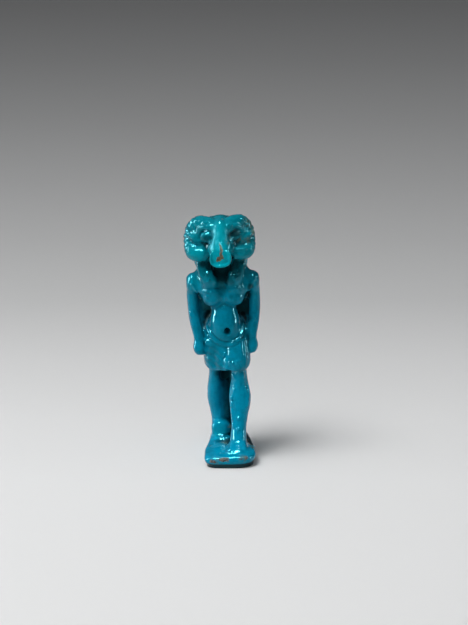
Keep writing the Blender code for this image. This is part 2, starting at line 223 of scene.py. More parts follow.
# %% [markdown]
# ## Body and limbs
#
# The body is wide at the shoulders, narrows in a V to the waist, and swells again into a round
# belly. The arms hang straight, with walls of clay behind them that a mould needs. The left leg
# steps forward, and another wall joins it to the back pillar. Each of these is a stack, because
# cross sections are easy to read from a photograph: widths from the front, depths from known
# amulets of the kind.

# %% Chest, belly and arms


def body(clay):
    stack(clay, "Z", [
        (33, 0, 3.8, 2.6, 1.4), (31.8, 0, 3.5, 4.6, 1.8), (30.6, 0, 3, 5.5, 2.4),
        (29.4, 0, 2.9, 5.2, 2.35), (27.9, 0, 2.75, 4.25, 2.3), (26.6, 0, 2.65, 3.15, 2.25),
        (25.2, -0.2, 2.65, 2.1, 2.2), (23.4, -0.05, 2.9, 2.2, 2.5), (21.6, 0.05, 2.8, 3, 2.8),
        (19, 0.15, 2.5, 3.9, 3.2),
    ], squareness=2.6)
    ball(clay, (0.08, 1.5, 22.1), (2.72, 2.55, 4.3), (-7, 0, 0))


def chest(clay):
    """A flat plate, wide at the front, whose edges run down in a V, and the breasts on it."""
    stack(clay, "Z", [
        (31, 0, 2.3, 5.2, 1), (30.2, 0.05, 2.1, 5.5, 1.2), (29.4, 0.05, 1.9, 5.35, 1.3),
        (28.4, 0, 1.7, 4.65, 1.35), (27.1, 0, 1.6, 3.8, 1.35), (26.1, -0.05, 1.7, 3.15, 1.25),
        (25.1, -0.1, 1.95, 2.35, 1.15), (24.2, -0.25, 2.3, 1.9, 1.1),
    ], squareness=2.8)
    for side in SIDES:
        ball(clay, (side * 1.85 - 0.05, 1.0, 27.2), (1.95, 1.75, 1.7), (0, side * 18, 0))
        ledge = {-1: 28.3, 1: 28.75}[side]
        roll(
            clay,
            mirrored(side, [
                (3.3, 0.35, ledge - 0.15, 0.5), (2.3, -0.2, ledge, 0.6), (1.2, -0.15, ledge, 0.5),
            ]),
        )


def arms(clay):
    for side in SIDES:
        ball(clay, (side * 5.45, 2.8, 29.4), (1.2, 1.75, 2.05))
        stack(clay, "Z", [
            (30.5, side * 5.45, 2.9, 1.15, 1.5), (28.6, side * 5.6, 3.3, 1.04, 1.45),
            (26.5, side * 5.6, 3.3, 1.03, 1.4), (24.5, side * 5.52, 3.1, 1.04, 1.35),
            (22.5, side * 5.3, 2.6, 1.05, 1.3), (20.8, side * 4.98, 2, 1, 1.2),
            (19.3, side * 4.85, 1.7, 0.84, 1.05), (18, side * 4.9, 1.5, 0.98, 1.15),
        ], dome=0.6)


def walls(clay):
    """The clay left between the arms and the body, and between the forward leg and the pillar."""
    stack(clay, "Z", [
        (31.4, 0, 5.1, 4.6, 0.8), (29, 0, 5.3, 5.2, 0.7), (24, 0, 5.2, 5.1, 0.7), (20, 0, 4.8, 4.6, 0.9),
    ], squareness=4, dome=1.4)
    stack(clay, "Z", [(16, 1.9, 3.4, 1, 3), (8, 1.8, 3.4, 0.9, 3.2), (0, 1.7, 3, 0.9, 3.4)], squareness=4)
    stack(clay, "Z", [
        (16, -0.6, 5.6, 2, 1.7), (8, -0.6, 5.6, 2, 1.5), (3.4, -0.6, 5.4, 1.9, 1.6),
        (0, -0.6, 5.2, 1.8, 2.2),
    ], squareness=2.6)


# %% Hips and legs


def hips(clay):
    stack(clay, "Z", [
        (23, 0.15, 4.2, 2.8, 1.5), (22.2, 0.15, 3.5, 3.4, 2.1), (21, 0.1, 2.8, 3.75, 2.9),
        (18.5, 0.1, 2.5, 4, 3.2), (15, 0.1, 2.8, 3.6, 2.9),
    ], squareness=2.3, dome=0.6)


def forward_leg(clay):
    stack(clay, "Z", [
        (17, 2.1, 1.2, 1.7, 2.4), (13.4, 2.2, 0.4, 1.45, 2), (11.2, 2.2, 0, 1.65, 1.9),
        (9.2, 2.2, -0.35, 2, 1.9), (7.4, 2.15, -0.65, 1.9, 1.9), (5.6, 1.95, -1.15, 1.6, 1.8),
        (3.8, 1.8, -1.75, 1.38, 1.8), (1.8, 1.6, -2.4, 1.5, 2.1), (0.4, 1.5, -2.7, 1.6, 2.6),
    ])
    stack(clay, "Y", [
        (-0.2, 1.6, 1, 1.3, 1.3), (-3, 1.55, 0.9, 1.45, 1.4), (-4.2, 1.5, 0.7, 1.6, 1.05),
        (-5, 1.4, 0.5, 1.75, 0.85), (-5.8, 1.35, 0.35, 1.85, 0.7), (-6.2, 1.3, 0.3, 1.85, 0.6),
    ], squareness=2.5, dome=0.7)


def rear_leg(clay):
    stack(clay, "Z", [
        (17, -2.1, 4, 1.4, 2.2), (13, -2.05, 4.5, 1.2, 1.8), (11.2, -2.15, 4.7, 1.3, 1.8),
        (9.2, -2.3, 4.8, 1.45, 1.8), (7, -2.3, 4.9, 1.5, 1.7), (5, -2.05, 5, 1.4, 1.5),
        (3.4, -1.85, 5, 1.4, 1.5), (1.8, -1.7, 4.9, 1.55, 1.9), (0.4, -1.65, 4.7, 1.65, 2.3),
    ])
    stack(clay, "Y", [
        (6.9, -1.7, 1.4, 1.3, 1.7), (5.6, -1.75, 1.65, 1.5, 1.95), (4.2, -1.75, 1.65, 1.6, 1.9),
        (3.1, -1.7, 1.5, 1.6, 1.8),
    ], squareness=2.5, dome=0.6)


# %% [markdown]
# ## The ram's head
#
# The head sits low in a wig whose two tails fall in front of the shoulders. The muzzle is a
# tapering stack that runs forward and down to a flat front, with a thin rim round it. Thick
# horns curl out, down and forward round the ears, and end in blunt tips beside the muzzle. A
# roll along a curve is the natural way to make a horn, because its thickness can change along
# the way. The figure's left eye lies deeper than its right one.

# %% Wig and head


def wig(clay):
    stack(clay, "Z", [(36, 0, 2.9, 1.9, 1.9), (33.5, 0, 3.1, 1.8, 1.7), (30, 0, 2.7, 2.6, 1.7)])
    stack(clay, "Z", [
        (40.8, -0.1, 3.9, 2.6, 2), (39.4, -0.1, 3.8, 3.8, 2.8), (37, -0.1, 3.6, 4.5, 3),
        (34.8, -0.15, 3.6, 4.85, 2.5), (33.2, -0.15, 3.6, 4.85, 2.2), (31.6, -0.05, 3.9, 4.3, 1.9),
        (30.4, 0, 4.3, 3.6, 1.6),
    ], squareness=2.5, dome=0.6)


def lappets(clay):
    for side in SIDES:
        stack(clay, "Z", [
            (35.2, side * 3.3 - 0.1, 1.7, 1.35, 1.3), (33.4, side * 3.15 - 0.1, 1, 1.3, 1.35),
            (31.8, side * 2.8 - 0.2, 0.5, 1.35, 1.35), (30.4, side * 2.2 - 0.25, 0.35, 1.5, 1.25),
            (29.5, side * 2.1 - 0.2, 0.6, 1.4, 0.95),
        ], squareness=2.2, dome=0.6)


# Lumps on each side of the head: where they lie, and their radii.
HEAD_LUMPS = [
    ((1.5, 1.0, 36.6), (1.4, 2.3, 2.0)), ((3.6, 1.5, 38.3), (1.9, 1.9, 2.5)),
    ((2.5, 0.75, 39.4), (1.4, 1.2, 1.2)), ((2.75, 0.45, 37.4), (1.3, 1.2, 1.2)),
    ((1.55, -1.1, 37.5), (1.0, 1.4, 1.5)), ((1.5, -0.9, 40.4), (1.3, 1.1, 1.1)),
]


def head(clay):
    ball(clay, (0, 2.2, 38.4), (3.4, 3.4, 3.6))
    roll(clay, [(0, -0.5, 40.55, 1.45), (-0.1, 1.4, 40.45, 1.7), (-0.1, 3.4, 39.9, 1.7)])
    stack(clay, "Y", [
        (2.2, 0, 39.3, 2.4, 2.8), (0.6, 0, 39.15, 2.1, 2.95), (-0.8, 0.05, 38.9, 1.6, 3.1),
        (-1.75, 0.03, 38.45, 1.45, 3.3), (-2.6, 0, 37.75, 1.5, 2.8), (-3.4, -0.1, 36.95, 1.75, 2.4),
        (-4.2, -0.12, 36.1, 1.95, 2.1), (-4.95, -0.12, 35.65, 1.85, 1.65),
    ], squareness=2.2, dome=0.3)
    for side in SIDES:
        ball(clay, (side * 1.4 - 0.1, -2.0, 36.9), (0.95, 2.4, 1.6))
        for (x, y, z), radii in HEAD_LUMPS:
            ball(clay, (side * x, y, z), radii)


# %% Horns, ears and eyes
HORN_REACH = {-1: 1.045, 1: 0.955}
HORN = [
    (1.3, -0.3, 40.9, 1), (2.4, 0.6, 40.95, 1.25), (3.65, 1.5, 40.65, 1.4), (4.5, 2.1, 39.75, 1.4),
    (4.92, 2.3, 38.4, 1.42), (5, 1.8, 37, 1.45), (4.8, 0.5, 35.9, 1.45), (4.1, -0.2, 35.6, 1.42),
    (3.3, -0.4, 35.6, 1.35),
]


def horns(clay):
    for side in SIDES:
        roll(clay, mirrored(side * HORN_REACH[side], HORN))


def ears(clay):
    for side in SIDES:
        roll(
            clay,
            mirrored(side, [
                (3.7, -0.2, 38, 0.35), (4.3, 0.1, 38.2, 0.55), (5, 0.5, 38.5, 0.55),
                (5.8, 1.2, 38.8, 0.35),
            ]),
        )


EYE_FRONT = {-1: -1.3, 1: -0.25}


def brows_and_eyes(clay):
    for side in SIDES:
        roll(
            clay,
            mirrored(side, [
                (1.5, -1.5, 40, 0.3), (1.9, -1.35, 40.4, 0.42), (2.6, -1, 40.55, 0.5),
                (3.4, -0.4, 40.25, 0.48), (3.95, 0.1, 39.4, 0.4), (4.1, 0.35, 38.6, 0.3),
            ]),
        )
        eye_at = (side * 2.5 + 0.05, EYE_FRONT[side], 38.85)
        ball(clay, eye_at, (1.15, 1.0, 1.05), (0, side * 15, side * 25))


def muzzle_rim(clay):
    """A narrow raised rim round the flat front of the muzzle, and the lower lip behind it."""
    roll(clay, [
        (-1.5, -4.91, 37, 0.15), (-1.82, -5.16, 36.3, 0.2), (-1.87, -5.26, 35.5, 0.22),
        (-1.6, -5.26, 34.8, 0.22), (-0.95, -5.26, 34.42, 0.24), (-0.1, -5.26, 34.3, 0.24),
        (0.75, -5.26, 34.42, 0.24), (1.4, -5.26, 34.8, 0.22), (1.67, -5.26, 35.5, 0.22),
        (1.62, -5.16, 36.3, 0.2), (1.3, -4.91, 37, 0.15),
    ])
    roll(clay, [(-1.3, -4.6, 34.85, 0.5), (-0.1, -4.75, 34.55, 0.55), (1.1, -4.6, 34.85, 0.5)])


# %% [markdown]
# ## Kilt and fists
#
# The pleated kilt is two panels, one round each thigh, under a rolled belt, with a pleated tab
# in front. The fists rest against the hips.

# %% Kilt, belt, tab and fists


def kilt(clay):
    stack(clay, "Z", [
        (19.5, 1.8, 1.9, 2.2, 2.9), (17, 2, 1.4, 2.35, 3.35), (15.2, 2.05, 1.2, 2.35, 3.55),
        (14.3, 2, 1.2, 2.1, 3.4), (14, 1.95, 1.2, 1.9, 3.2),
    ], squareness=2.3)
    stack(clay, "Z", [
        (19.5, -1.8, 2.5, 2.15, 2.8), (17, -1.85, 2.9, 2.25, 3), (15, -1.75, 3.1, 2.3, 3.1),
        (14, -1.6, 3.1, 2.15, 3.1), (13.6, -1.45, 3.1, 1.9, 3),
    ], squareness=2.3)
    stack(clay, "Z", [
        (19.3, -0.2, 1.7, 1.9, 2.3), (17, -0.25, 1.3, 2.1, 2.35), (15, -0.25, 1.25, 2.1, 2.4),
        (14, -0.2, 1.3, 2, 2.25),
    ], dome=0.4)


def belt(clay):
    roll(clay, [
        (-3.3, 3.4, 21.5, 0.25), (-3.05, 1.6, 21.2, 0.34), (-2.4, 0.5, 20.3, 0.44),
        (-1.2, -0.08, 19.2, 0.42), (0.3, -0.3, 18.85, 0.42), (1.8, -0.08, 19.2, 0.42),
        (2.75, 0.5, 20.25, 0.44), (3.25, 1.6, 21.1, 0.34), (3.5, 3.4, 21.4, 0.25),
    ])


def tab(clay):
    stack(clay, "Z", [
        (18.6, 1.2, 0.1, 0.9, 0.8), (17, 1.25, -0.4, 1.45, 1), (15.8, 1.2, -0.8, 1.75, 1.1),
        (14.5, 1.2, -0.9, 1.85, 1.05),
    ], squareness=2.1, dome=0.45)


def fists(clay):
    for side in SIDES:
        stack(clay, "Z", [
            (19, side * 4.85, 1.6, 0.82, 1.05), (18.1, side * 4.85, 1.35, 1.02, 1.4),
            (17.3, side * 4.7, 1.25, 1.02, 1.4), (16.9, side * 4.5, 1.25, 0.95, 1.25),
        ], squareness=2.5, dome=0.35)


# %% [markdown]
# ## Base and pillar
#
# A thin base carries the feet, and a plain pillar runs up the back. The base's edge is rolled
# over, so it follows a profile. Its front corner on the figure's left is worn round, and its
# underside is a smaller flat foot.

# %% Base and pillar
BASE_THICKNESS = 1.5
FOOT_THICKNESS = 0.8
# Profiles as (inset, height), from below to above.
BASE_PROFILE = [
    (0.55, -1.5), (0.2, -1.42), (0.04, -1.2), (0, -0.9), (0.02, -0.5), (0.14, -0.2), (0.34, -0.05),
    (0.7, 0),
]
FOOT_PROFILE = [(0.5, -3.1), (0.5, -0.75)]
# Corners of the base as (x, y, rounding).
BASE = [
    (-4.73, -8.38, 1.8), (4.73, -8.38, 3.2), (4.73, -2, 6), (3.23, 8.28, 1.8), (-3.23, 8.28, 1.8),
    (-4.73, -2, 6),
]
PILLAR_LOW = (-2.3, 4.7, -0.75)
PILLAR_HIGH = (2.3, 7.9, 33.9)
CORNER_STEPS = 10
# Clay smeared out round the feet, so that they melt into the base: places and radii.
FOOT_SKIRTS = [
    ((1.45, -3.4, 0), (2.3, 3.9, 0.75)), ((-1.65, 4.3, 0), (2.1, 3.2, 0.9)),
    ((0.2, 2.6, 0), (2.4, 2.6, 0.5)), ((0.2, 4.6, 1.6), (1.6, 1.5, 2.0)),
    ((-1.65, 2.9, 0.2), (1.75, 1.5, 0.7)),
]


def outline(inset):
    """Points round the base, drawn in by an inset."""
    corners = [(x - math.copysign(inset, x), y - math.copysign(inset, y), r) for x, y, r in BASE]
    for k in (2, 5):
        corners[k] = (corners[k][0], BASE[k][1], corners[k][2])
    points = []
    for i, (x, y, rounding) in enumerate(corners):
        here = Vector((x, y))
        before = (Vector(corners[i - 1][:2]) - here).normalized()
        after = (Vector(corners[(i + 1) % len(corners)][:2]) - here).normalized()
        half = before.angle(after) / 2
        middle = here + (before + after).normalized() * rounding / math.sin(half)
        start = here + before * rounding / math.tan(half) - middle
        finish = here + after * rounding / math.tan(half) - middle
        sweep = start.angle_signed(finish)
        for step in range(CORNER_STEPS + 1):
            points.append(middle + Matrix.Rotation(-sweep * step / CORNER_STEPS, 2) @ start)
    return points


def slab(clay, profile):
    """A flat slab with the base's outline, whose edge follows a profile."""
    skin(clay, [[Vector((p.x, p.y, height)) for p in outline(inset)] for inset, height in profile])


def block(clay, low, high):
    low, high = Vector(low), Vector(high)
    place = Matrix.Translation((low + high) / 2) @ Matrix.Diagonal((*(high - low), 1))
    bmesh.ops.create_cube(clay, size=1, matrix=place)


def foot_skirts(clay):
    for place, radii in FOOT_SKIRTS:
        ball(clay, place, radii)


def base_and_pillar(clay):
    slab(clay, BASE_PROFILE)
    slab(clay, FOOT_PROFILE)
    block(clay, PILLAR_LOW, PILLAR_HIGH)


# %% [markdown]
# ## Nodes that make what repeats
#
# Toes, pleats and the rings of the horns repeat, and so do the marks that a tool leaves.
# Geometry Nodes make these: a tree is a small machine with named inputs. One short function
# adds a node and links it, and three more shorten the commonest ones, so each tree below reads
# like a recipe.

# %% Functions that add nodes


def add(tree, kind, settings=None, **inputs):
    """Adds a node. A value goes into a socket. A socket, or a node's first output, is linked."""
    made = tree.nodes.new(kind)
    for name, value in (settings or {}).items():
        setattr(made, name, value)
    for name, value in inputs.items():
        key = int(name[1:]) if name[0] == "_" else name.replace("_", " ")
        if isinstance(value, bpy.types.Node):
            value = value.outputs[0]
        if isinstance(value, bpy.types.NodeSocket):
            tree.links.new(value, made.inputs[key])
        else:
            made.inputs[key].default_value = value
    return made


def maths(tree, operation, *values):
    """A sum on one, two or three values."""
    inputs = {f"_{k}": value for k, value in enumerate(values)}
    return add(tree, "ShaderNodeMath", {"operation": operation}, **inputs)


def ramp(tree, value, span, results=(0.0, 1.0), **settings):
    """Turns a span of values into a span of results."""
    inputs = {f"_{k}": each for k, each in enumerate((value, *span, *results))}
    return add(tree, "ShaderNodeMapRange", settings, **inputs)


def scaled(tree, vector, by):
    """A vector times a number."""
    return add(tree, "ShaderNodeVectorMath", {"operation": "SCALE"}, _0=vector, Scale=by)


# %% Trees of geometry nodes


def node_tree(name, **sockets):
    """An empty Geometry Nodes tree, and the sockets of its named inputs."""
    tree = bpy.data.node_groups.new(name, "GeometryNodeTree")
    tree.interface.new_socket("Geometry", in_out="OUTPUT", socket_type="NodeSocketGeometry")
    for label, kind in {"Geometry": "Geometry", **sockets, "Material": "Material"}.items():
        label = label.replace("_", " ")
        tree.interface.new_socket(label, in_out="INPUT", socket_type="NodeSocket" + kind)
    return tree, tree.nodes.new("NodeGroupInput").outputs


def close_tree(tree, geometry, given):
    """Ends a tree in Realize Instances and Set Material."""
    real = add(tree, "GeometryNodeRealizeInstances", Geometry=geometry)
    coated = add(tree, "GeometryNodeSetMaterial", Geometry=real, Material=given["Material"])
    add(tree, "NodeGroupOutput", _0=coated)


def push_out(tree, amount, given):
    """Moves each point of the clay along its normal, and ends the tree."""
    offset = scaled(tree, add(tree, "GeometryNodeInputNormal"), amount)
    moved = add(tree, "GeometryNodeSetPosition", Geometry=given["Geometry"], Offset=offset)
    close_tree(tree, moved, given)


def set_modifiers(thing):
    """Applies what is on an object's modifier stack to its mesh."""
    graph = bpy.context.evaluated_depsgraph_get()
    mesh = bpy.data.meshes.new_from_object(thing.evaluated_get(graph))
    thing.modifiers.clear()
    thing.data = mesh


def use_tree(thing, tree, **values):
    """Puts a tree on an object. Inputs are set by their identifiers."""
    modifier = thing.modifiers.new(tree.name, "NODES")
    modifier.node_group = tree
    for item in tree.interface.items_tree:
        if item.in_out == "INPUT" and item.name.replace(" ", "_") in values:
            modifier[item.identifier] = values[item.name.replace(" ", "_")]


# %% [markdown]
# ## Toes
#
# Ten toes are ten small balls of different sizes in two rows. The tree puts a ball on each
# point of a row and scales it by the point's own radius.

# %% Rows of toes


def polylines(name, paths, radii=False):
    """A mesh of edges through each path. Stations may end in a radius, kept as an attribute."""
    points = [station for path in paths for station in path]
    edges = []
    first = 0
    for path in paths:
        edges += [(first + k, first + k + 1) for k in range(len(path) - 1)]
        first += len(path)
    mesh = bpy.data.meshes.new(name)
    mesh.from_pydata([station[:3] for station in points], edges, [])
    if radii:
        sizes = mesh.attributes.new("radius", "FLOAT", "POINT")
        sizes.data.foreach_set("value", [station[3] for station in points])
    return placed(name, mesh)


beads, given = node_tree("beads in a row", Stretch="Vector")
bead = add(beads, "GeometryNodeMeshIcoSphere", Radius=1.0, Subdivisions=3)
radius = add(beads, "GeometryNodeInputNamedAttribute", {"data_type": "FLOAT"}, Name="radius")
size = scaled(beads, given["Stretch"], radius)
row = add(beads, "GeometryNodeInstanceOnPoints", Points=given["Geometry"], Instance=bead, Scale=size)
close_tree(beads, row, given)

TOE_STRETCH = (1.0, 1.7, 1.0)
# Toes as (x, y, z, radius), from the big toe out: the left foot's first.
TOES = [
    [
        (-0.1, -6.15, 0.38, 0.5), (0.75, -6.3, 0.34, 0.42), (1.5, -6.25, 0.32, 0.4),
        (2.2, -6.1, 0.3, 0.37), (2.8, -5.8, 0.28, 0.34),
    ],
    [
        (-0.5, 2.0, 0.4, 0.45), (-1.15, 1.8, 0.38, 0.4), (-1.8, 1.85, 0.36, 0.37),
        (-2.35, 2.05, 0.34, 0.35), (-2.85, 2.35, 0.3, 0.32),
    ],
]
toes = polylines("toes", TOES, radii=True)
use_tree(toes, beads, Stretch=TOE_STRETCH)
set_modifiers(toes)
print("Toes:", len(toes.data.polygons), "faces")

# %% [markdown]
# ## Pressing the lumps together
#
# The Remesh modifier in voxel mode turns overlapping bodies into one skin, much as wet clay
# joins. Booleans would leave knife-sharp seams. A Smooth modifier afterwards softens the joins,
# as a thick glaze does. The big masses are softened more than the forms laid on them, and the
# base more than the rest, so the work goes in two stages. The hole for the cord goes through the
# pillar from side to side, and the navel is a wide dish with a narrow hole in it.

# %% Fuse the masses, then the forms
MASS_GRAIN = 0.2
MASS_SOFTENING = 16
BASE_SOFT = (0.1, 1.0)
BASE_SOFTENING = 26
CUT_GRAIN = 0.16
FORM_GRAIN = 0.13
FORM_SOFTENING = 6


def clay_object(name, clay):
    mesh = bpy.data.meshes.new(name)
    clay.to_mesh(mesh)
    clay.free()
    return placed(name, mesh)


def modify(thing, kind, **settings):
    """Adds a modifier."""
    made = thing.modifiers.new(kind.lower(), kind)
    for name, value in settings.items():
        setattr(made, name, value)


def fuse(thing, grain, softening):
    modify(thing, "REMESH", mode="VOXEL", voxel_size=grain)
    if softening:
        modify(thing, "SMOOTH", factor=0.5, iterations=softening)
    set_modifiers(thing)


def soften_below(thing, low, high, steps):
    """Smooths the clay below a height, and less up to a second height."""
    group = thing.vertex_groups.new(name="low")
    for vertex in thing.data.vertices:
        share = (high - vertex.co.z) / (high - low)
        if share > 0:
            group.add([vertex.index], min(share, 1), "REPLACE")
    modify(thing, "SMOOTH", factor=0.5, iterations=steps, vertex_group=group.name)
    set_modifiers(thing)


def cut(thing, cutter, name):
    """Takes one closed shape away from another."""
    tool = clay_object(name, cutter)
    modify(thing, "BOOLEAN", operation="DIFFERENCE", solver="EXACT", object=tool)
    set_modifiers(thing)
    bpy.data.objects.remove(tool)


MASSES = (
    body, chest, arms, walls, hips, forward_leg, rear_leg, foot_skirts, wig, head, lappets,
    base_and_pillar,
)
FORMS = (fists, horns, ears, brows_and_eyes, muzzle_rim, kilt, belt, tab)

clay = bmesh.new()
for form in MASSES:
    form(clay)
masses = clay_object("masses", clay)
fuse(masses, MASS_GRAIN, MASS_SOFTENING)
soften_below(masses, *BASE_SOFT, BASE_SOFTENING)
clay = bmesh.new()
clay.from_mesh(masses.data)
clay.from_mesh(toes.data)
for form in FORMS:
    form(clay)
for used in (masses, toes):
    bpy.data.objects.remove(used)
amulet = clay_object("khnum_amulet_glazed", clay)
fuse(amulet, CUT_GRAIN, 0)

# %% Cut the cord's hole and the navel
HOLE = (0, 6.45, 31.96)
HOLE_RADIUS = 0.65
DRILL_LENGTH = 20
DRILL_SIDES = 32
NAVEL = (0.45, -1.1, 21.2)
# What presses the navel: how far in front of it this lies, and its radii.
NAVEL_TOOLS = {"dish": (0.32, (0.9, 0.8, 0.98)), "navel": (0, (0.6, 1.5, 0.68))}

drill = bmesh.new()
across_pillar = Matrix.Translation(HOLE) @ Matrix.Rotation(math.pi / 2, 4, "Y")
bmesh.ops.create_cone(
    drill, cap_ends=True, segments=DRILL_SIDES, radius1=HOLE_RADIUS, radius2=HOLE_RADIUS,
    depth=DRILL_LENGTH, matrix=across_pillar,
)
cut(amulet, drill, "drill")
for name, (forward, radii) in NAVEL_TOOLS.items():
    press = bmesh.new()
    ball(press, Vector(NAVEL) - Vector((0, forward, 0)), radii)
    cut(amulet, press, name)
fuse(amulet, FORM_GRAIN, FORM_SOFTENING)
print("Clay:", len(amulet.data.polygons), "faces")

# %% [markdown]
# ## Lines pressed with a tool
#
# Belt, lids, seams and drops of glaze are fine lines. Each is drawn where the photograph shows
# it: its points are pixels, and a ray from the camera through a pixel finds the clay there. The
# pleats at the sides and the rings of the horns follow rules instead, because the photograph
# hardly shows them.
#
# A tree then presses all lines of a kind. It finds how far each point of the clay is from the
# nearest line, and moves it along its normal: inwards for a groove, outwards for a ridge or a
# drop.

# %% Lines from the photograph to the clay
LEAN = math.radians(2.5)
stand = Matrix.Translation((0, 0, BASE_THICKNESS + FOOT_THICKNESS)) @ Matrix.Rotation(-LEAN, 4, "Y")
STEPS_BETWEEN = 8


def laid(lines, tree):
    """Lines of pixels, laid on the clay as seen by the camera."""
    undo = stand.inverted()
    start = undo @ eye
    paths = []
    for line in lines:
        path = []
        for pixel in spline(line, STEPS_BETWEEN):
            way = (undo @ in_picture_plane(pixel) - start).normalized()
            hit = tree.ray_cast(start, way)[0]
            if hit is not None:
                path.append(tuple(hit))
        paths.append(path)
    return paths


# %% The tree that presses
pressing, given = node_tree("press lines", Marks="Object", Half_width="Float", Depth="Float")
marks = add(pressing, "GeometryNodeObjectInfo", Object=given["Marks"]).outputs["Geometry"]
near_line = add(pressing, "GeometryNodeProximity", {"target_element": "EDGES"}, Geometry=marks)
profile = ramp(
    pressing, near_line.outputs["Distance"], (0.0, given["Half width"]), (given["Depth"], 0.0),
    interpolation_type="SMOOTHERSTEP",
)
push_out(pressing, maths(pressing, "MULTIPLY", profile, -1.0), given)

# %% Lines across rails
# A grid has a vertex for each line on each rail, numbered along its lines. It is moved onto the
# rails. An edge that joins numbers further apart than one runs between two lines, and goes.
LINE_POINTS = 40

pleating, given = node_tree("lines across rails", Lines="Int", Rails="Int", Clay="Object")
grid = add(pleating, "GeometryNodeMeshGrid", Vertices_X=given["Lines"], Vertices_Y=given["Rails"])
rails = add(pleating, "GeometryNodeMeshToCurve", Mesh=given["Geometry"])
index = add(pleating, "GeometryNodeInputIndex")
line_number = maths(pleating, "FLOOR", maths(pleating, "DIVIDE", index, given["Rails"]))
rail_number = maths(pleating, "FLOORED_MODULO", index, given["Rails"])
along = maths(pleating, "DIVIDE", line_number, maths(pleating, "SUBTRACT", given["Lines"], 1.0))
sample = add(
    pleating, "GeometryNodeSampleCurve", {"mode": "FACTOR"}, Curves=rails, Factor=along,
    Curve_Index=rail_number,
)
spread = add(pleating, "GeometryNodeSetPosition", Geometry=grid, Position=sample.outputs["Position"])
ends = add(pleating, "GeometryNodeInputMeshEdgeVertices").outputs
step = maths(pleating, "ABSOLUTE", maths(pleating, "SUBTRACT", ends[0], ends[1]))
between_lines = maths(pleating, "GREATER_THAN", step, 1.5)
apart = add(
    pleating, "GeometryNodeDeleteGeometry", {"domain": "EDGE", "mode": "EDGE_FACE"}, Geometry=spread,
    Selection=between_lines,
)
lines = add(pleating, "GeometryNodeMeshToCurve", Mesh=apart)
soft = add(pleating, "GeometryNodeCurveSplineType", {"spline_type": "CATMULL_ROM"}, Curve=lines)
fine = add(pleating, "GeometryNodeResampleCurve", Curve=soft, Count=LINE_POINTS)
clay_skin = add(pleating, "GeometryNodeObjectInfo", Object=given["Clay"]).outputs["Geometry"]
nearest = add(pleating, "GeometryNodeProximity", {"target_element": "FACES"}, Geometry=clay_skin)
on_skin = add(pleating, "GeometryNodeSetPosition", Geometry=fine, Position=nearest.outputs["Position"])
close_tree(pleating, add(pleating, "GeometryNodeCurveToMesh", Curve=on_skin), given)


def across_rails(name, rails, count):
    """A number of lines that each cross all the rails, laid on the clay."""
    made = polylines(name, [spline(rail, STEPS_BETWEEN) for rail in rails])
    use_tree(made, pleating, Lines=count, Rails=len(rails), Clay=amulet)
    set_modifiers(made)
    return made


# %% Rings along the horns
RING_SPACING = 0.85
RING_REACH = 0.98
RING_POINTS = 48

ringing, given = node_tree("rings on a path", Spacing="Float", Reach="Float")
path = add(ringing, "GeometryNodeMeshToCurve", Mesh=given["Geometry"])
even = add(ringing, "GeometryNodeResampleCurve", {"mode": "LENGTH"}, Curve=path, Length=given["Spacing"])
ring = add(
    ringing, "GeometryNodeCurvePrimitiveCircle", {"mode": "RADIUS"}, Resolution=RING_POINTS, Radius=1.0,
)
tangent = add(ringing, "GeometryNodeInputTangent")
turned = add(ringing, "FunctionNodeAlignRotationToVector", {"axis": "Z"}, Vector=tangent)
radius = add(ringing, "GeometryNodeInputNamedAttribute", {"data_type": "FLOAT"}, Name="radius")
size = maths(ringing, "MULTIPLY", radius, given["Reach"])
rings = add(
    ringing, "GeometryNodeInstanceOnPoints", Points=even, Instance=ring, Rotation=turned, Scale=size,
)
real = add(ringing, "GeometryNodeRealizeInstances", Geometry=rings)
close_tree(ringing, add(ringing, "GeometryNodeCurveToMesh", Curve=real), given)

ring_paths = [spline(mirrored(side * HORN_REACH[side], HORN[2:-2]), STEPS_BETWEEN) for side in SIDES]
horn_rings = polylines("horn rings", ring_paths, radii=True)
use_tree(horn_rings, ringing, Spacing=RING_SPACING, Reach=RING_REACH)
set_modifiers(horn_rings)

# %% Draw the lines
BELT = [
    [
        (206.5, 321), (208.3, 327), (212, 333.2), (217.5, 338.5), (222.5, 341), (228, 341.8),
        (234.5, 339.8), (239.5, 334.5), (241.8, 328), (242, 319),
    ],
    [
        (205, 327), (206.8, 333.5), (210.5, 339.5), (216, 344.2), (222, 346.8), (228.5, 347.3),
        (235, 345.8), (240.5, 341.5), (244, 335), (245.3, 327),
    ],
]
TAB_EDGES = [
    [(226.5, 349), (224.5, 355), (223.3, 362), (222.6, 369)], [(238.5, 348), (241.5, 356), (243, 370)],
]
TAB_TOP = [(228, 350.5), (233, 349.5), (238, 350.5)]
TAB_HEM = [(226, 367), (233, 368), (240.5, 367.5)]
LAPPET_EDGES = [
    [(198, 263.5), (198.9, 270), (201.2, 277.5)], [(196.8, 268), (198.8, 277), (202.3, 286)],
    [(245.3, 263.5), (243.6, 271), (241, 280)],
]
EYE_HOLLOWS = [
    [(202, 242.5), (205.5, 244.6), (209.5, 243.5)], [(231, 240.6), (234.5, 242.3), (238.5, 241)],
]
LIDS = [
    [(199.8, 237.5), (202, 233), (206, 230.6), (210.5, 231.2)],
    [(230.5, 231), (234.5, 228.6), (239, 229.9), (241, 232.5)],
]
TIP_RIDGE = [[(235, 249.4), (244.5, 249.2)]]
CHEST_EDGES = [[(192, 284.5), (195.5, 289), (201.5, 297.5)], [(253.4, 279.5), (249.8, 286.5), (244, 299)]]
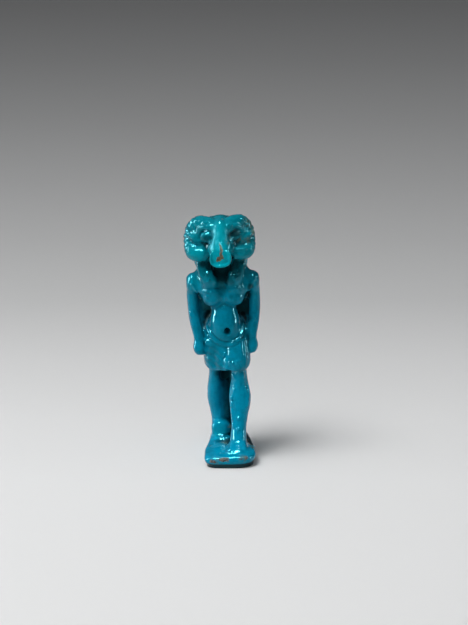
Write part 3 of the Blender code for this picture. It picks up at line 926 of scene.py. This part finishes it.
DRIPS = [
    [(206, 273.6), (207.6, 272.8)], [(207.8, 281.4), (209, 280.4)], [(233.4, 275.6), (234.2, 276)],
    [(235.2, 279), (236.6, 276.8)], [(237.4, 271), (237.4, 273)], [(206.5, 296.6), (207.5, 296.6)],
    [(205.5, 292.4), (211.5, 292)], [(229.5, 290.4), (237, 288.2)], [(222.4, 308), (224.8, 307.2)],
    [(190.2, 313.5), (191.2, 316.5)], [(224.4, 354), (224, 356)], [(206.8, 336), (207.4, 337.8)],
    [(206.4, 342.4), (206.9, 344.4)], [(205.2, 349.8), (206, 351)], [(207.2, 358.4), (207.8, 358.8)],
    [(229.4, 361.6), (229.8, 364.6)], [(232.5, 362.6), (232.7, 364)], [(237, 361.4), (237.1, 362.6)],
    [(239.8, 360.6), (240.2, 361.4)], [(233.2, 341.4), (235, 340.8)], [(232.6, 374), (235, 378.6)],
    [(236.4, 372.8), (238.4, 371.8)], [(231.6, 396), (231.4, 399)], [(231.8, 403), (231.8, 406.5)],
    [(232, 409.5), (232.2, 413)], [(232.6, 416), (232.8, 419)], [(233.2, 423.5), (233.5, 427.5)],
    [(238.2, 417.6), (238.4, 419)], [(238.2, 428.8), (238.4, 430)], [(243.2, 373), (243.4, 377)],
    [(243.5, 380), (244, 384)], [(245, 387), (246.6, 391.6)], [(241.4, 219.8), (244.6, 220.6)],
    [(244.6, 222.6), (247.6, 224.4)], [(229, 225), (231.4, 225.2)], [(203.6, 222.8), (208.4, 221.8)],
    [(253.6, 320.4), (254.8, 319.4)],
]
NOSE_LINE = [[(219.3, 261), (219.6, 264.5)]]
SHIN = [[(247.6, 386), (248.2, 395), (247.2, 406)]]
KNEE = [[(234.6, 389.5), (233, 394), (232, 398.5)]]

skin_tree = surface(amulet)
LEFT_RAILS = [
    [(-2.6, 6.2, 21.6), (-2.6, 6.2, 15.6)], [(-4.3, 2.6, 20.6), (-4.3, 2.6, 14.2)],
    [(-0.6, -1.6, 17.6), (-0.8, -1.6, 11.2)],
]
RIGHT_RAILS = [
    [(3.2, -0.6, 20.3), (4.5, 2.4, 20.6), (3.2, 6.0, 21.2)],
    [(3.3, -2.3, 14.2), (4.7, 1.2, 14.2), (3.4, 5.0, 14.4)],
]
left_pleats = across_rails("left pleats", LEFT_RAILS, 6)
right_pleats = across_rails("right pleats", RIGHT_RAILS, 9)
tab_pleats = across_rails("tab pleats", laid([TAB_TOP, TAB_HEM], skin_tree), 6)

# %% Press them
# The lines of each kind, half their width and their depth in millimetres. A ridge's is negative.
tool_marks = [
    (horn_rings, 0.38, 0.11), (left_pleats, 0.55, 0.07), (right_pleats, 0.34, 0.08),
    (tab_pleats, 0.4, 0.05),
]
for name, lines, half_width, depth in (
    ("belt lines", BELT, 0.34, 0.1), ("tab edges", TAB_EDGES, 0.5, 0.06),
    ("lappet edges", LAPPET_EDGES, 0.22, -0.12), ("eye hollows", EYE_HOLLOWS, 0.7, 0.22),
    ("lids", LIDS, 0.35, 0.1), ("chest edges", CHEST_EDGES, 0.45, -0.3),
    ("tip ridge", TIP_RIDGE, 0.6, -0.3), ("drips", DRIPS, 0.4, -0.2), ("nose line", NOSE_LINE, 0.2, 0.1),
    ("shin", SHIN, 0.6, -0.24), ("knee", KNEE, 0.45, -0.16),
):
    tool_marks.append((polylines(name, laid(lines, skin_tree)), half_width, depth))
for lines, half_width, depth in tool_marks:
    use_tree(amulet, pressing, Marks=lines, Half_width=half_width, Depth=depth)
set_modifiers(amulet)
for lines, _, _ in tool_marks:
    bpy.data.objects.remove(lines)
print("Pressed:", len(tool_marks), "kinds of lines")

# %% [markdown]
# ## Uneven horns
#
# The horns weren't rolled smooth: they are lumpy between their rings, and the glaze glitters
# there in many small points. Noise in the bump map would leave the outline smooth, so a tree
# moves the clay itself, most on the horns, less elsewhere and hardly at all on the base.

# %% The tree that makes clay uneven
LUMPS_PER_MM = 1.1
LUMP_HEIGHT = 0.13
# The horns lie this far out from the middle and this high. Elsewhere, the share of their
# unevenness grows with the height above the base.
HORNS_FROM = (1.8, 3.4)
HORNS_ABOVE = (35.5, 38.0)
ABOVE_BASE = (0.5, 3.0)
ELSEWHERE = (0.03, 0.3)

roughing, given = node_tree("uneven clay", Lumps_per_mm="Float", Height="Float")
where = add(roughing, "GeometryNodeInputPosition")
lumps = add(roughing, "ShaderNodeTexNoise", Vector=where, Scale=given["Lumps per mm"], Detail=2.0)
split = add(roughing, "ShaderNodeSeparateXYZ", Vector=where).outputs
on_side = ramp(roughing, maths(roughing, "ABSOLUTE", split["X"]), HORNS_FROM)
on_horns = maths(roughing, "MULTIPLY", on_side, ramp(roughing, split["Z"], HORNS_ABOVE))
share = maths(roughing, "MAXIMUM", on_horns, ramp(roughing, split["Z"], ABOVE_BASE, ELSEWHERE))
rise = ramp(roughing, lumps.outputs["Fac"], (0.4, 0.8), (0.0, given["Height"]), clamp=False)
push_out(roughing, maths(roughing, "MULTIPLY", rise, share), given)
use_tree(amulet, roughing, Lumps_per_mm=LUMPS_PER_MM, Height=LUMP_HEIGHT)
set_modifiers(amulet)

# %% [markdown]
# ## Standing it up
#
# The whole amulet leans a little to one side, but stands level. So it is tipped first, and only
# then is the underside cut flat.

# %% Lean and flat underside
amulet.data.transform(stand)
under = bmesh.new()
block(under, (-40, -40, -20), (40, 40, 0))
cut(amulet, under, "ground")
MOST_TRIANGLES = 190000
amulet.data.calc_loop_triangles()
modify(amulet, "DECIMATE", ratio=MOST_TRIANGLES / len(amulet.data.loop_triangles))
set_modifiers(amulet)
amulet.data.transform(Matrix.Scale(MM, 4))
amulet.data.calc_loop_triangles()
print("Finished:", len(amulet.data.loop_triangles), "triangles")

# %% [markdown]
# ## Where the glaze pools, where shade is painted, and where it is worn
#
# Molten glaze runs off edges and gathers in hollows, where it looks deeper and darker. How far
# each point lies below its surroundings is measured by blurring the surface and seeing how far it
# sinks below the blur. Geometry Nodes do that quickly, and store it as an attribute, which the
# material reads. A light blur finds the fine pools of glaze. A strong blur finds the wide
# hollows, which the material paints near black: partly pooled glaze, partly painted shade that
# stands in for ambient occlusion. Ambient occlusion in the shader would also find hollows, but
# would be lost in an exported model.

# %% Measuring the hollows
# Fine pools take a light blur, and the wide hollows painted as shade a strong one: steps, and
# full depth in millimetres.
POOL_AND_SHADE_BLURS = {"pool": (24, 0.2), "hollow": (600, 1.0)}

pooling_and_shade, given = node_tree("pooling_and_shade", Name="String", Blur_steps="Int", Full_depth="Float")
here = add(pooling_and_shade, "GeometryNodeInputPosition")
blurred = add(
    pooling_and_shade, "GeometryNodeBlurAttribute", {"data_type": "FLOAT_VECTOR"}, Value=here,
    Iterations=given["Blur steps"],
)
gap = add(pooling_and_shade, "ShaderNodeVectorMath", {"operation": "SUBTRACT"}, _0=blurred, _1=here)
normal = add(pooling_and_shade, "GeometryNodeInputNormal")
depth = add(pooling_and_shade, "ShaderNodeVectorMath", {"operation": "DOT_PRODUCT"}, _0=gap, _1=normal)
share = maths(pooling_and_shade, "DIVIDE", depth.outputs["Value"], given["Full depth"])
stored = add(
    pooling_and_shade, "GeometryNodeStoreNamedAttribute", {"data_type": "FLOAT", "domain": "POINT"},
    Geometry=given["Geometry"], Name=given["Name"], Value=share,
)
close_tree(pooling_and_shade, stored, given)

# %% [markdown]
# ## Worn and stained places, painted light and painted shade
#
# Handling has worn the glaze through to the brown body on the nose and along the base's front
# edge, and has rubbed it matt beside the bridge of the nose and on the base. One horn and one
# corner of the base are stained. The glaze is thin on the nose and bridge, which are painted
# lighter, partly as painted light, and a shoulder, a horn tip and the rear foot are painted
# lighter as painted light. Under the chin, round the eyes, in the gaps beside the waist and
# between the legs, on the lappets, the kilt and the base's right corner, the glaze is painted
# dark, near black in places: partly deep pooled glaze, partly painted shade.
#
# A few points and sizes for each are enough: the share falls off with the distance from the
# nearest one, and the material breaks the edges of wear and stains up with noise.

# %% Spots by pixel, radius in millimetres and strength
SPOTS = {
    "worn": [
        (222.3, 219, 0.5, 0.65), (219.5, 243, 0.4, 0.7), (220.6, 246.5, 0.45, 0.8),
        (221.3, 250, 0.5, 0.95), (221, 248.3, 0.4, 0.9), (221.2, 251.8, 0.4, 0.9),
        (221, 255.3, 0.45, 0.9), (220, 244.8, 0.4, 0.8), (220.8, 253.5, 0.45, 0.85),
        (221.3, 257, 0.65, 0.95), (219, 259, 0.75, 1), (217.3, 261, 0.45, 0.8), (222.8, 258.5, 0.45, 0.8),
        (211.5, 461.5, 0.6, 0.85), (214.5, 462, 0.6, 0.85), (220.5, 460, 0.7, 0.9), (224, 459.5, 0.8, 1),
        (227.5, 459.5, 0.7, 0.95), (228.5, 462, 0.5, 0.8), (241, 458.5, 0.7, 0.7),
        # The last two spots below lie under the right eye: partly worn glaze, partly a painted highlight.
        (246, 457.5, 0.8, 0.75), (233, 241, 0.4, 0.5), (234, 243.5, 0.35, 0.5),
    ],
    "stained": [
        (247.5, 221, 1.2, 0.9), (251.5, 225, 1.2, 1), (253, 231, 0.9, 1), (247, 240, 1, 0.8),
        (248, 434, 1.4, 0.9), (250.5, 440, 1.8, 1), (252.5, 446, 1.5, 1), (240, 240, 0.9, 0.7),
        (229.5, 237, 0.6, 0.7), (228, 242, 0.8, 0.6), (209, 446, 0.8, 0.6), (224, 443, 0.9, 0.6),
        (243, 458, 1, 0.8), (216, 461, 1.2, 0.6), (230, 427, 0.7, 0.6),
    ],
    # Painted near black in recesses, under the chin, round the eyes and between the legs: partly deep
    # pooled glaze, partly painted shade.
    "deep": [
        (206, 238.5, 1.1, 0.65), (203, 239.5, 0.9, 0.5), (209.5, 238, 0.8, 0.6), (235, 233, 1.1, 1),
        (232.5, 233, 0.9, 1), (237.5, 233, 0.9, 0.9), (206, 243.5, 0.7, 0.8), (235, 238, 0.8, 0.5),
        (238, 241, 0.7, 0.6), (203, 264, 1.2, 0.8), (209, 266, 1.4, 0.9), (236, 264, 1.5, 0.9),
        (242, 262, 1, 0.8), (205, 272, 1.6, 0.35), (236, 272, 2.4, 0.7), (219, 292, 1.5, 0.35),
        (222, 272, 2, 1), (217, 272, 1.6, 1), (227, 271, 1.6, 1), (222, 278, 1.8, 1), (226, 279, 1.5, 1),
        (232, 268, 1.3, 0.9), (210, 267, 1.2, 0.8), (237, 265, 1.2, 0.9), (206, 263, 1, 0.6),
        (233, 276, 1.3, 0.6), (222, 285, 1.2, 0.5), (231, 282, 1.2, 0.6), (232.5, 256, 0.7, 0.6),
        (244, 268, 1, 0.5), (207, 308, 1.3, 0.7), (205, 303, 1.2, 0.45), (202, 300, 1, 0.4),
        (208, 314, 1.1, 0.8), (240, 308, 1.6, 1), (244, 302, 1.5, 1), (246, 310, 1.5, 1),
        (249, 294, 1.1, 1), (248, 303, 1.4, 0.9), (242, 313, 1.2, 0.9), (251, 287, 0.8, 0.8),
        (250, 318, 0.9, 0.5), (231, 297, 0.7, 0.4), (224, 374, 2.2, 1), (226, 382, 2.2, 0.45),
        (224, 390, 2.4, 0.2), (225, 398, 2.4, 0.1), (225, 406, 2.2, 0.1), (218, 373, 1.2, 0.7),
        (214, 351, 2.4, 0.36), (214, 360, 2.4, 0.36), (246, 340, 2, 0.35), (247, 352, 1.6, 0.3),
        (249, 437, 1.5, 0.68), (251, 443, 1.8, 0.66), (253, 448, 1.4, 0.5), (250, 440, 1.6, 0.6),
        (250.5, 287, 0.9, 0.9), (248, 294, 1, 0.9), (208, 312, 0.9, 0.8), (206.3, 317, 0.8, 0.75),
        (204.6, 322, 0.6, 0.7), (243, 314, 0.9, 1), (245, 318, 0.8, 0.9), (243, 322, 0.8, 0.6),
    ],
    # Painted lighter: thin glaze on the nose, and painted light there and on a shoulder, a horn tip and
    # the rear foot.
    "thin": [
        (220, 229, 2.2, 0.7), (220, 237, 2.2, 0.7), (220, 246, 2.2, 0.7), (215, 256, 1.6, 0.8),
        (226, 256, 1.6, 0.8), (220, 264, 2.4, 0.9), (196, 283, 2.2, 0.4), (220, 431, 2.8, 0.45),
        (195, 255, 2.4, 0.5),
    ],
    "rubbed": [
        (213, 229, 1.3, 0.7), (213.5, 235, 1.4, 0.7), (212.5, 241, 1.4, 0.7), (211.5, 246, 1, 0.6),
        (227, 231, 1.2, 0.65), (227, 238, 1.2, 0.65), (208.5, 312, 1, 1), (206.5, 315, 1.4, 1),
        (204.5, 319, 1.4, 1), (203.5, 324, 1.2, 1), (208, 322, 1.2, 1), (243, 314, 1.2, 1),
        (244, 318, 1.4, 1), (246, 321, 1.2, 1), (247, 325, 1, 0.9), (226, 447, 1.6, 0.9),
        (221, 444, 1.6, 0.9), (215, 446, 1.5, 0.8), (226, 441, 1.2, 0.7), (248, 444, 1.5, 0.9),
    ]
}
# The two lines of the belt are painted darker too: partly pooled glaze, partly painted shade in the
# grooves.
SPOTS["deep"] += [(*pixel, 0.42, 0.4) for line in BELT for pixel in spline(line, 5)]


def mark_spots(thing, name, spots):
    """Stores how near each point of a mesh is to the spots, from 0 to the spot's strength."""
    skin_now = surface(thing)
    points = np.zeros(len(thing.data.vertices) * 3)
    thing.data.vertices.foreach_get("co", points)
    points = points.reshape(-1, 3)
    share = np.zeros(len(points))
    for x, y, radius, strength in spots:
        way = (in_picture_plane((x, y)) - eye).normalized()
        hit = skin_now.ray_cast(eye * MM, way)[0]
        if hit is None:
            print("Missed the amulet:", x, y)
            continue
        near = 1 - np.linalg.norm(points - np.array(hit), axis=1) / (radius * MM)
        share = np.maximum(share, np.clip(near * 1.5, 0, 1) * strength)
    thing.data.attributes.new(name, "FLOAT", "POINT").data.foreach_set("value", share)
    print(name, "covers", round(100 * float((share > 0).mean()), 1), "% of the points")


# %% [markdown]
# ## Glazed faience
#
# Faience is fired quartz paste with a glassy copper glaze. It is deep turquoise, a little
# greener where thin and blue-black where thick, and as shiny as glass. Where it is worn, the
# sandy brown body shows. Here the lighter places are partly painted light, the blue-black ones
# partly painted shade, and the legs' blue is the body's painted lighter.

# %% The glaze


def ink(code):
    """A colour from its sRGB hex code, as the linear values that Blender mixes."""
    parts = [int(code[i : i + 2], 16) / 255 for i in (1, 3, 5)]
    return tuple(c / 12.92 if c <= 0.04045 else ((c + 0.055) / 1.055) ** 2.4 for c in parts) + (1,)


GLAZE_HEAD = ink("#007584")
GLAZE_BODY = ink("#007590")
# Painted light: the body's blue made lighter for the light bounced up from the floor onto the legs.
GLAZE_LEGS_LIT = ink("#0086a7")
# Lighter glaze for thin places, also used as painted light.
GLAZE_THIN_AND_LIT = ink("#0096a4")
GLAZE_POOLED = ink("#004152")
# Near black, for deep pooled glaze and for painted shade.
DARK_GLAZE_AND_SHADE = ink("#000c12")
MOTTLED = ink("#003846")
BARE_NOSE = ink("#7e5e2e")
BARE_BASE = ink("#846a60")
SOIL = ink("#241810")
STAIN = ink("#5c6650")
# The dark band under the base: bare underside, and painted shadow.
UNDERSIDE_AND_SHADE = ink("#1c2226")
GLINT = ink("#50e0f0")

# Heights in millimetres where the blues change, how far their borders wander, and where the
# dark underside begins, painted partly as bare body and partly as shadow under the base.
LEGS_TO_BODY = (11.0, 21.0)
BODY_TO_HEAD = (28.0, 38.0)
WANDER = 9.0
DARK_BAND_BELOW = (1.0, 0.7)
# The ripple of the glaze: its size, its depth in millimetres and its strength up to the head.
RIPPLES_PER_MM = 0.8
RIPPLE_DEPTH = 0.25
RIPPLE_HEIGHTS = (34.0, 38.0)
RIPPLE_STRENGTHS = (0.1, 0.45)
SHINY_TO_MATT = (0.08, 0.8)
GLASS_IOR = 1.52


def material(name):
    """A new material, its tree and its shader."""
    made = bpy.data.materials.new(name)
    made.use_nodes = True
    return made, made.node_tree, made.node_tree.nodes["Principled BSDF"]


glaze, tree, shader = material("glazed faience")
place = add(tree, "ShaderNodeTexCoord").outputs["Object"]
in_mm = add(tree, "ShaderNodeMapping", Vector=place, Scale=(1 / MM,) * 3)


def blend(share, one, other):
    """Mixes two colours by a share from 0 to 1."""
    return add(tree, "ShaderNodeMix", {"data_type": "RGBA"}, _0=share, _6=one, _7=other).outputs[2]


def ease(value, low, high):
    """0 below low, 1 above high, and smooth between."""
    return ramp(tree, value, (low, high), interpolation_type="SMOOTHSTEP")


def times(one, other):
    return maths(tree, "MULTIPLY", one, other)


def larger(one, other):
    return maths(tree, "MAXIMUM", one, other)


def kept(name):
    """A value that was stored on the points of the mesh."""
    return add(tree, "ShaderNodeAttribute", {"attribute_name": name}).outputs["Fac"]


def speckle(per_mm, detail=3.0):
    noise = add(tree, "ShaderNodeTexNoise", Vector=in_mm, Scale=per_mm, Detail=detail, Roughness=0.6)
    return noise.outputs["Fac"]


# The three blues, with darker mottling and fine pools of glaze. The legs' blue and the thin
# places are painted lighter, and deep places near black: painted light and shade, partly real glaze.
height = add(tree, "ShaderNodeSeparateXYZ", Vector=in_mm).outputs["Z"]
drift = maths(tree, "MULTIPLY_ADD", speckle(0.35), WANDER, -WANDER / 2)
level = maths(tree, "ADD", height, drift)
colour = blend(ease(level, *LEGS_TO_BODY), GLAZE_LEGS_LIT, GLAZE_BODY)
colour = blend(ease(level, *BODY_TO_HEAD), colour, GLAZE_HEAD)
colour = blend(times(ease(speckle(0.7, 5.0), 0.4, 0.8), 0.4), colour, MOTTLED)
colour = blend(ease(kept("pool"), 0.1, 1.0), colour, GLAZE_POOLED)
# Painted light: thin places are painted lighter, partly for thin glaze.
colour = blend(ease(kept("thin"), 0.0, 1.2), colour, GLAZE_THIN_AND_LIT)
hollow = kept("hollow")
deep = kept("deep")
# Painted shade: the wide hollows and the marked deep places go near black, partly for pooled glaze.
colour = blend(ease(hollow, 0.1, 1.0), colour, DARK_GLAZE_AND_SHADE)
colour = blend(times(ease(deep, 0.0, 1.0), 0.95), colour, DARK_GLAZE_AND_SHADE)
# Stains, worn places with soil in the grain of the bare body, and the dark underside: partly
# bare body, partly painted shadow under the base.
colour = blend(times(kept("stained"), ease(speckle(1.8, 5.0), 0.4, 0.6)), colour, STAIN)
worn = ease(maths(tree, "ADD", kept("worn"), speckle(4.5, 6.0)), 0.95, 1.25)
bare = blend(ease(height, 10.0, 30.0), BARE_BASE, BARE_NOSE)
colour = blend(worn, colour, blend(ease(speckle(4.0, 5.0), 0.35, 0.65), SOIL, bare))
colour = blend(ease(height, *DARK_BAND_BELOW), colour, UNDERSIDE_AND_SHADE)
tree.links.new(colour, shader.inputs["Base Color"])
# The wide hollows and the places painted dark (partly pooled glaze, partly painted shade), worn
# and rubbed places are duller, and the most rubbed ones hardly mirror at all.
dull = larger(times(ease(hollow, 0.5, 1.3), 0.35), worn)
dull = larger(dull, times(ease(deep, 0.7, 1.0), 0.8))
dull = larger(dull, times(kept("rubbed"), 0.6))
shine = ramp(tree, kept("rubbed"), (0.75, 1.0), (0.5, 0.05))
strength = ramp(tree, height, RIPPLE_HEIGHTS, RIPPLE_STRENGTHS)
ripple = add(
    tree, "ShaderNodeBump", Height=speckle(RIPPLES_PER_MM, 2.0), Strength=strength,
    Distance=RIPPLE_DEPTH * MM,
)
for socket, node in (
    ("Normal", ripple), ("Roughness", ramp(tree, dull, (0.0, 1.0), SHINY_TO_MATT)),
    ("Specular IOR Level", shine),
):
    tree.links.new(node.outputs[0], shader.inputs[socket])
shader.inputs["Specular Tint"].default_value = GLINT
shader.inputs["IOR"].default_value = GLASS_IOR

amulet.data.materials.clear()
for name, (steps, depth) in POOL_AND_SHADE_BLURS.items():
    use_tree(amulet, pooling_and_shade, Name=name, Blur_steps=steps, Full_depth=depth * MM, Material=glaze)
set_modifiers(amulet)
amulet.data.shade_smooth()
for name, spots in SPOTS.items():
    mark_spots(amulet, name, spots)
pools = np.zeros(len(amulet.data.vertices))
for name in POOL_AND_SHADE_BLURS:
    amulet.data.attributes[name].data.foreach_get("value", pools)
    print(name, "at 50, 90 and 99 %:", np.percentile(pools, (50, 90, 99)).round(2))

# %% [markdown]
# ## Studio
#
# The floor is one pale sheet, painted darker away from the camera: painted shade where the light
# on it falls off. One soft light shapes the figure without being mirrored in it. A wide strip
# above, a tall one on the left and a weak one on the right do the opposite: they only glint in
# the glaze. The room is a soft dome, brightest in front of the figure, above it and to its right
# hand, and dimmer where the glaze mirrors it.

# %% Floor
# Painted shade on the paper: greys from near to far, by the row of pixels where the camera sees them.
FLOOR_SHADE_GREYS = {
    625: "#cdcdcd", 480: "#cecece", 420: "#c9c9c9", 360: "#bebebe", 300: "#acacac", 240: "#a0a0a0",
    180: "#949494", 120: "#878787", 60: "#7a7a7a", 5: "#6e6e6e"
}
FLOOR_HALF = 3000
PAPER_ROUGHNESS = 0.9
PAPER_SHINE = 0.2


def on_floor(pixel):
    """The point of the floor, in millimetres, that the camera sees through a pixel."""
    way = in_picture_plane(pixel) - eye
    return eye + way * (-eye.z / way.z)


floor_mesh = bpy.data.meshes.new("floor")
floor_mesh.from_pydata(
    [(x * FLOOR_HALF * MM, y * FLOOR_HALF * MM, 0) for x, y in ((-1, -1), (1, -1), (1, 1), (-1, 1))],
    [],
    [(0, 1, 2, 3)],
)
floor = placed("floor", floor_mesh)
shaded_paper, tree, shader = material("pale paper with painted shade")
near, far = [on_floor((PICTURE.x / 2, row)).y for row in (max(FLOOR_SHADE_GREYS), min(FLOOR_SHADE_GREYS))]
place = add(tree, "ShaderNodeTexCoord").outputs["Object"]
way_back = add(tree, "ShaderNodeSeparateXYZ", Vector=place).outputs["Y"]
shade_greys = add(tree, "ShaderNodeValToRGB", Fac=ramp(tree, way_back, (near * MM, far * MM)))
stops = shade_greys.color_ramp.elements
for k, (row, grey) in enumerate(FLOOR_SHADE_GREYS.items()):
    at = (on_floor((PICTURE.x / 2, row)).y - near) / (far - near)
    stop = stops[k] if k < 2 else stops.new(at)
    stop.position = at
    stop.color = ink(grey)
tree.links.new(shade_greys.outputs["Color"], shader.inputs["Base Color"])
shader.inputs["Roughness"].default_value = PAPER_ROUGHNESS
shader.inputs["Specular IOR Level"].default_value = PAPER_SHINE
floor.data.materials.append(shaded_paper)

# %% Lights
LIGHTS_AIM = Vector((0, 0, 20))
# Place, width and height in millimetres, and power in watts.
KEY_LIGHT = ((-200, -130, 545), 260, 260, 2.85)
GLINT_LIGHTS = {
    "top glint": ((-60, -150, 580), 280, 90, 13), "left glint": ((-560, 40, 210), 66, 420, 5.0),
    "right glint": ((560, 20, 200), 26, 400, 1.5)
}


def softbox(name, where, width, height, power):
    light = bpy.data.lights.new(name, "AREA")
    light.shape = "RECTANGLE"
    light.size = width * MM
    light.size_y = height * MM
    light.energy = power
    made = placed(name, light)
    made.location = Vector(where) * MM
    made.rotation_euler = (Vector(where) - LIGHTS_AIM).to_track_quat("Z", "Y").to_euler()
    return made


softbox("key light", *KEY_LIGHT).visible_glossy = False
for name, light in GLINT_LIGHTS.items():
    softbox(name, *light).visible_diffuse = False

DOME_BRIGHTEST = Vector((-0.65, -0.45, 0.6)).normalized()
DOME_STRENGTHS = (0.05, 0.8)
DOME_IN_GLAZE = 0.35
room = bpy.data.worlds.new("room")
room.use_nodes = True
tree = room.node_tree
sky = add(tree, "ShaderNodeTexCoord").outputs["Generated"]
towards_it = add(tree, "ShaderNodeVectorMath", {"operation": "DOT_PRODUCT"}, _0=sky, _1=DOME_BRIGHTEST)
dome = ramp(tree, towards_it.outputs["Value"], (-0.3, 1.0), DOME_STRENGTHS)
glossy_ray = add(tree, "ShaderNodeLightPath").outputs["Is Glossy Ray"]
seen = maths(tree, "MULTIPLY", dome, ramp(tree, glossy_ray, (0.0, 1.0), (1.0, DOME_IN_GLAZE)))
tree.links.new(seen.outputs[0], tree.nodes["Background"].inputs["Strength"])
tree.nodes["Background"].inputs["Color"].default_value = (0.96, 0.98, 1.0, 1)
bpy.context.scene.world = room
bpy.context.scene.view_settings.view_transform = "Standard"
print("Lights:", 1 + len(GLINT_LIGHTS), "and the dome")

# %% Hand over
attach(amulet, "root")
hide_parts("khnum_amulet")
